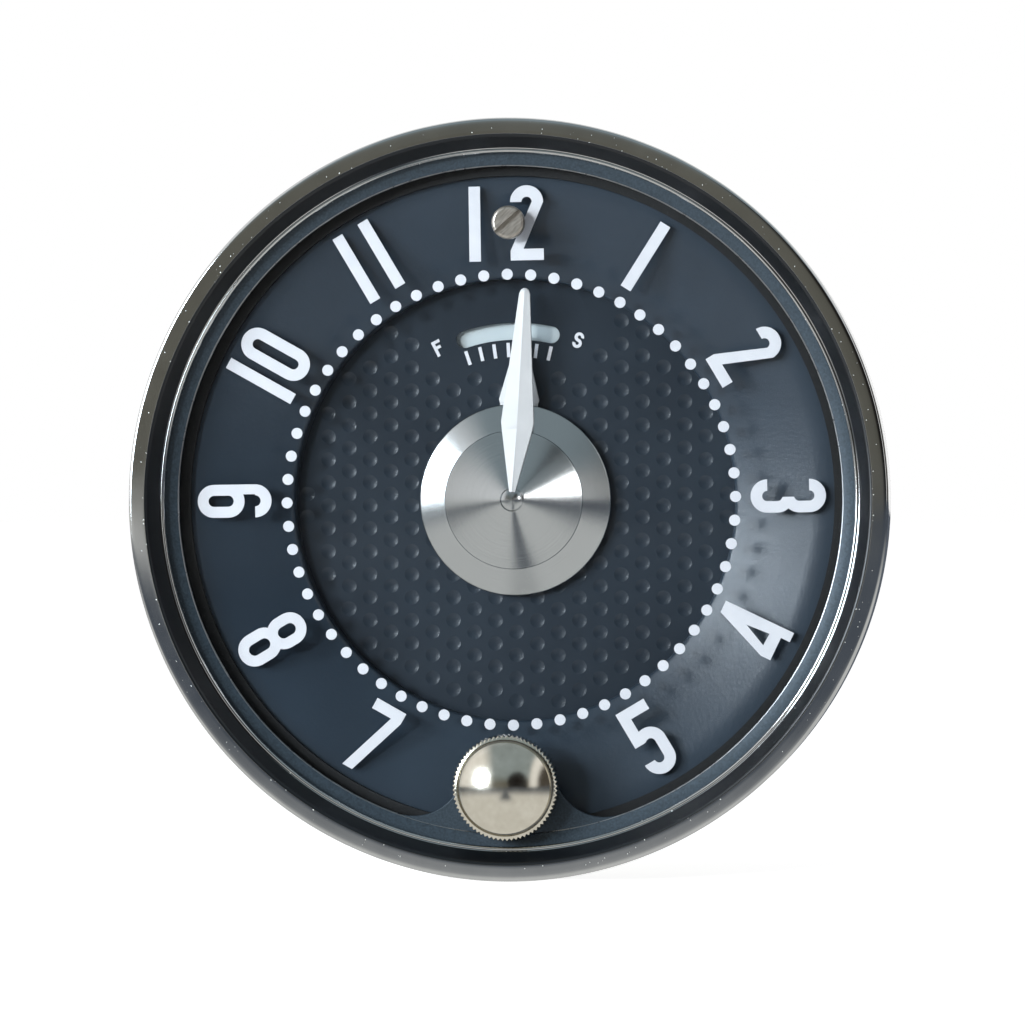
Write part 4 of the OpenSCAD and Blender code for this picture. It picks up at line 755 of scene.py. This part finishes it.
world = bpy.data.worlds.new("studio")
bpy.context.scene.world = world
world.use_nodes = True
tree = world.node_tree
tree.nodes.clear()
path = add(tree, "ShaderNodeLightPath")
place = add(tree, "ShaderNodeTexCoord")
way = add(tree, "ShaderNodeSeparateXYZ", [("Vector", place, "Generated")])
left = add(tree, "ShaderNodeMapRange", [("Value", way, "X")], From_Min=-0.38, From_Max=-0.62)
strip = add(tree, "ShaderNodeMapRange", [("Value", way, "X")], From_Min=0.64, From_Max=0.72)
behind = add(tree, "ShaderNodeMapRange", [("Value", way, "Y")], From_Min=-0.1, From_Max=0.1)
wall = add(tree, "ShaderNodeMapRange", [("Value", way, "X")], From_Min=0.82, From_Max=0.88)
upper = add(tree, "ShaderNodeMapRange", [("Value", way, "Z")], From_Min=0.14, From_Max=0.36)
room = add(tree, "ShaderNodeMix", [("Factor", upper, "Result")], data_type="RGBA",
           A=(0.16, 0.155, 0.13, 1), B=(0.31, 0.37, 0.4, 1))
sides = add(tree, "ShaderNodeMath", [(0, left, "Result"), (1, strip, "Result")],
            operation="MAXIMUM")
bright = add(tree, "ShaderNodeMath", [(0, sides, "Value"), (1, behind, "Result")],
             operation="MAXIMUM")
surround = add(tree, "ShaderNodeMix", [("Factor", bright, "Value"), ("A", room, "Result")],
               data_type="RGBA", B=(1, 1, 1, 1))
dim = add(tree, "ShaderNodeMix", [("Factor", wall, "Result"), ("A", surround, "Result")],
          data_type="RGBA", B=(0.08, 0.07, 0.06, 1))
toward = add(tree, "ShaderNodeVectorMath", [(0, place, "Generated")], operation="DOT_PRODUCT")
toward.inputs[1].default_value = (0.36, -0.92, 0.17)
figure = add(tree, "ShaderNodeMapRange", [("Value", toward, "Value")], From_Min=0.94,
             From_Max=0.965)
seen = add(tree, "ShaderNodeMix", [("Factor", figure, "Result"), ("A", dim, "Result")],
           data_type="RGBA", B=(0.016, 0.014, 0.013, 1))
given = add(tree, "ShaderNodeMix", [("Factor", path, "Is Glossy Ray"), ("B", seen, "Result")],
            data_type="RGBA", A=(0.2, 0.2, 0.21, 1))
view = add(tree, "ShaderNodeMix", [("Factor", path, "Is Camera Ray"), ("A", given, "Result")],
           data_type="RGBA", B=(1, 1, 1, 1))
sky = add(tree, "ShaderNodeBackground", [("Color", view, "Result")])
add(tree, "ShaderNodeOutputWorld", [("Surface", sky, "Background")])


def lamp(name, azimuth, elevation, away, size, power, colour):
    """Round lamp that looks at the clock from a direction in degrees, away metres off."""
    light = bpy.data.lights.new(name, "AREA")
    light.shape = "DISK"
    light.size = size
    light.energy = power
    light.color = colour
    holder = bpy.data.objects.new(name, light)
    bpy.context.scene.collection.objects.link(holder)
    a, e = radians(azimuth), radians(elevation)
    holder.location = (away * sin(a) * cos(e), -away * cos(a) * cos(e), away * sin(e))
    holder.rotation_euler = (pi / 2 - e, 0, a)
    return holder


key = lamp("key", -24, 9, 0.9, 0.13, 4.4, (0.97, 0.99, 1))
key.visible_glossy = False
window = lamp("window", -46, 12, 0.9, 0.42, 7.2, (0.8, 0.91, 1))
glint = lamp("glint", 26, 8, 1.0, 0.2, 1.0, (1, 1, 1))
sheen = lamp("sheen", 27, 20, 1.0, 0.3, 0.08, (0.85, 0.95, 1))

# the cone alone takes the two lamps from the right, and not the window
cone_alone = bpy.data.collections.new("cone_alone")
cone_alone.objects.link(cap)
for right_lamp in (glint, sheen):
    right_lamp.light_linking.receiver_collection = cone_alone
all_but_cone = bpy.data.collections.new("all_but_cone")
all_but_cone.objects.link(cap)
for member in all_but_cone.collection_objects:
    member.light_linking.link_state = "EXCLUDE"
window.light_linking.receiver_collection = all_but_cone

camera = bpy.data.cameras.new("camera")
camera.lens = 179.5
camera.sensor_width = 36
holder = bpy.data.objects.new("camera", camera)
bpy.context.scene.collection.objects.link(holder)
turn, away = radians(6), 0.6
aim = (0.0002, -0.004, -0.0015)
holder.location = (aim[0] + away * sin(turn), aim[1] - away * cos(turn), aim[2])
holder.rotation_euler = (pi / 2, 0, turn)
bpy.context.scene.camera = holder
bpy.context.scene.view_settings.view_transform = "Standard"
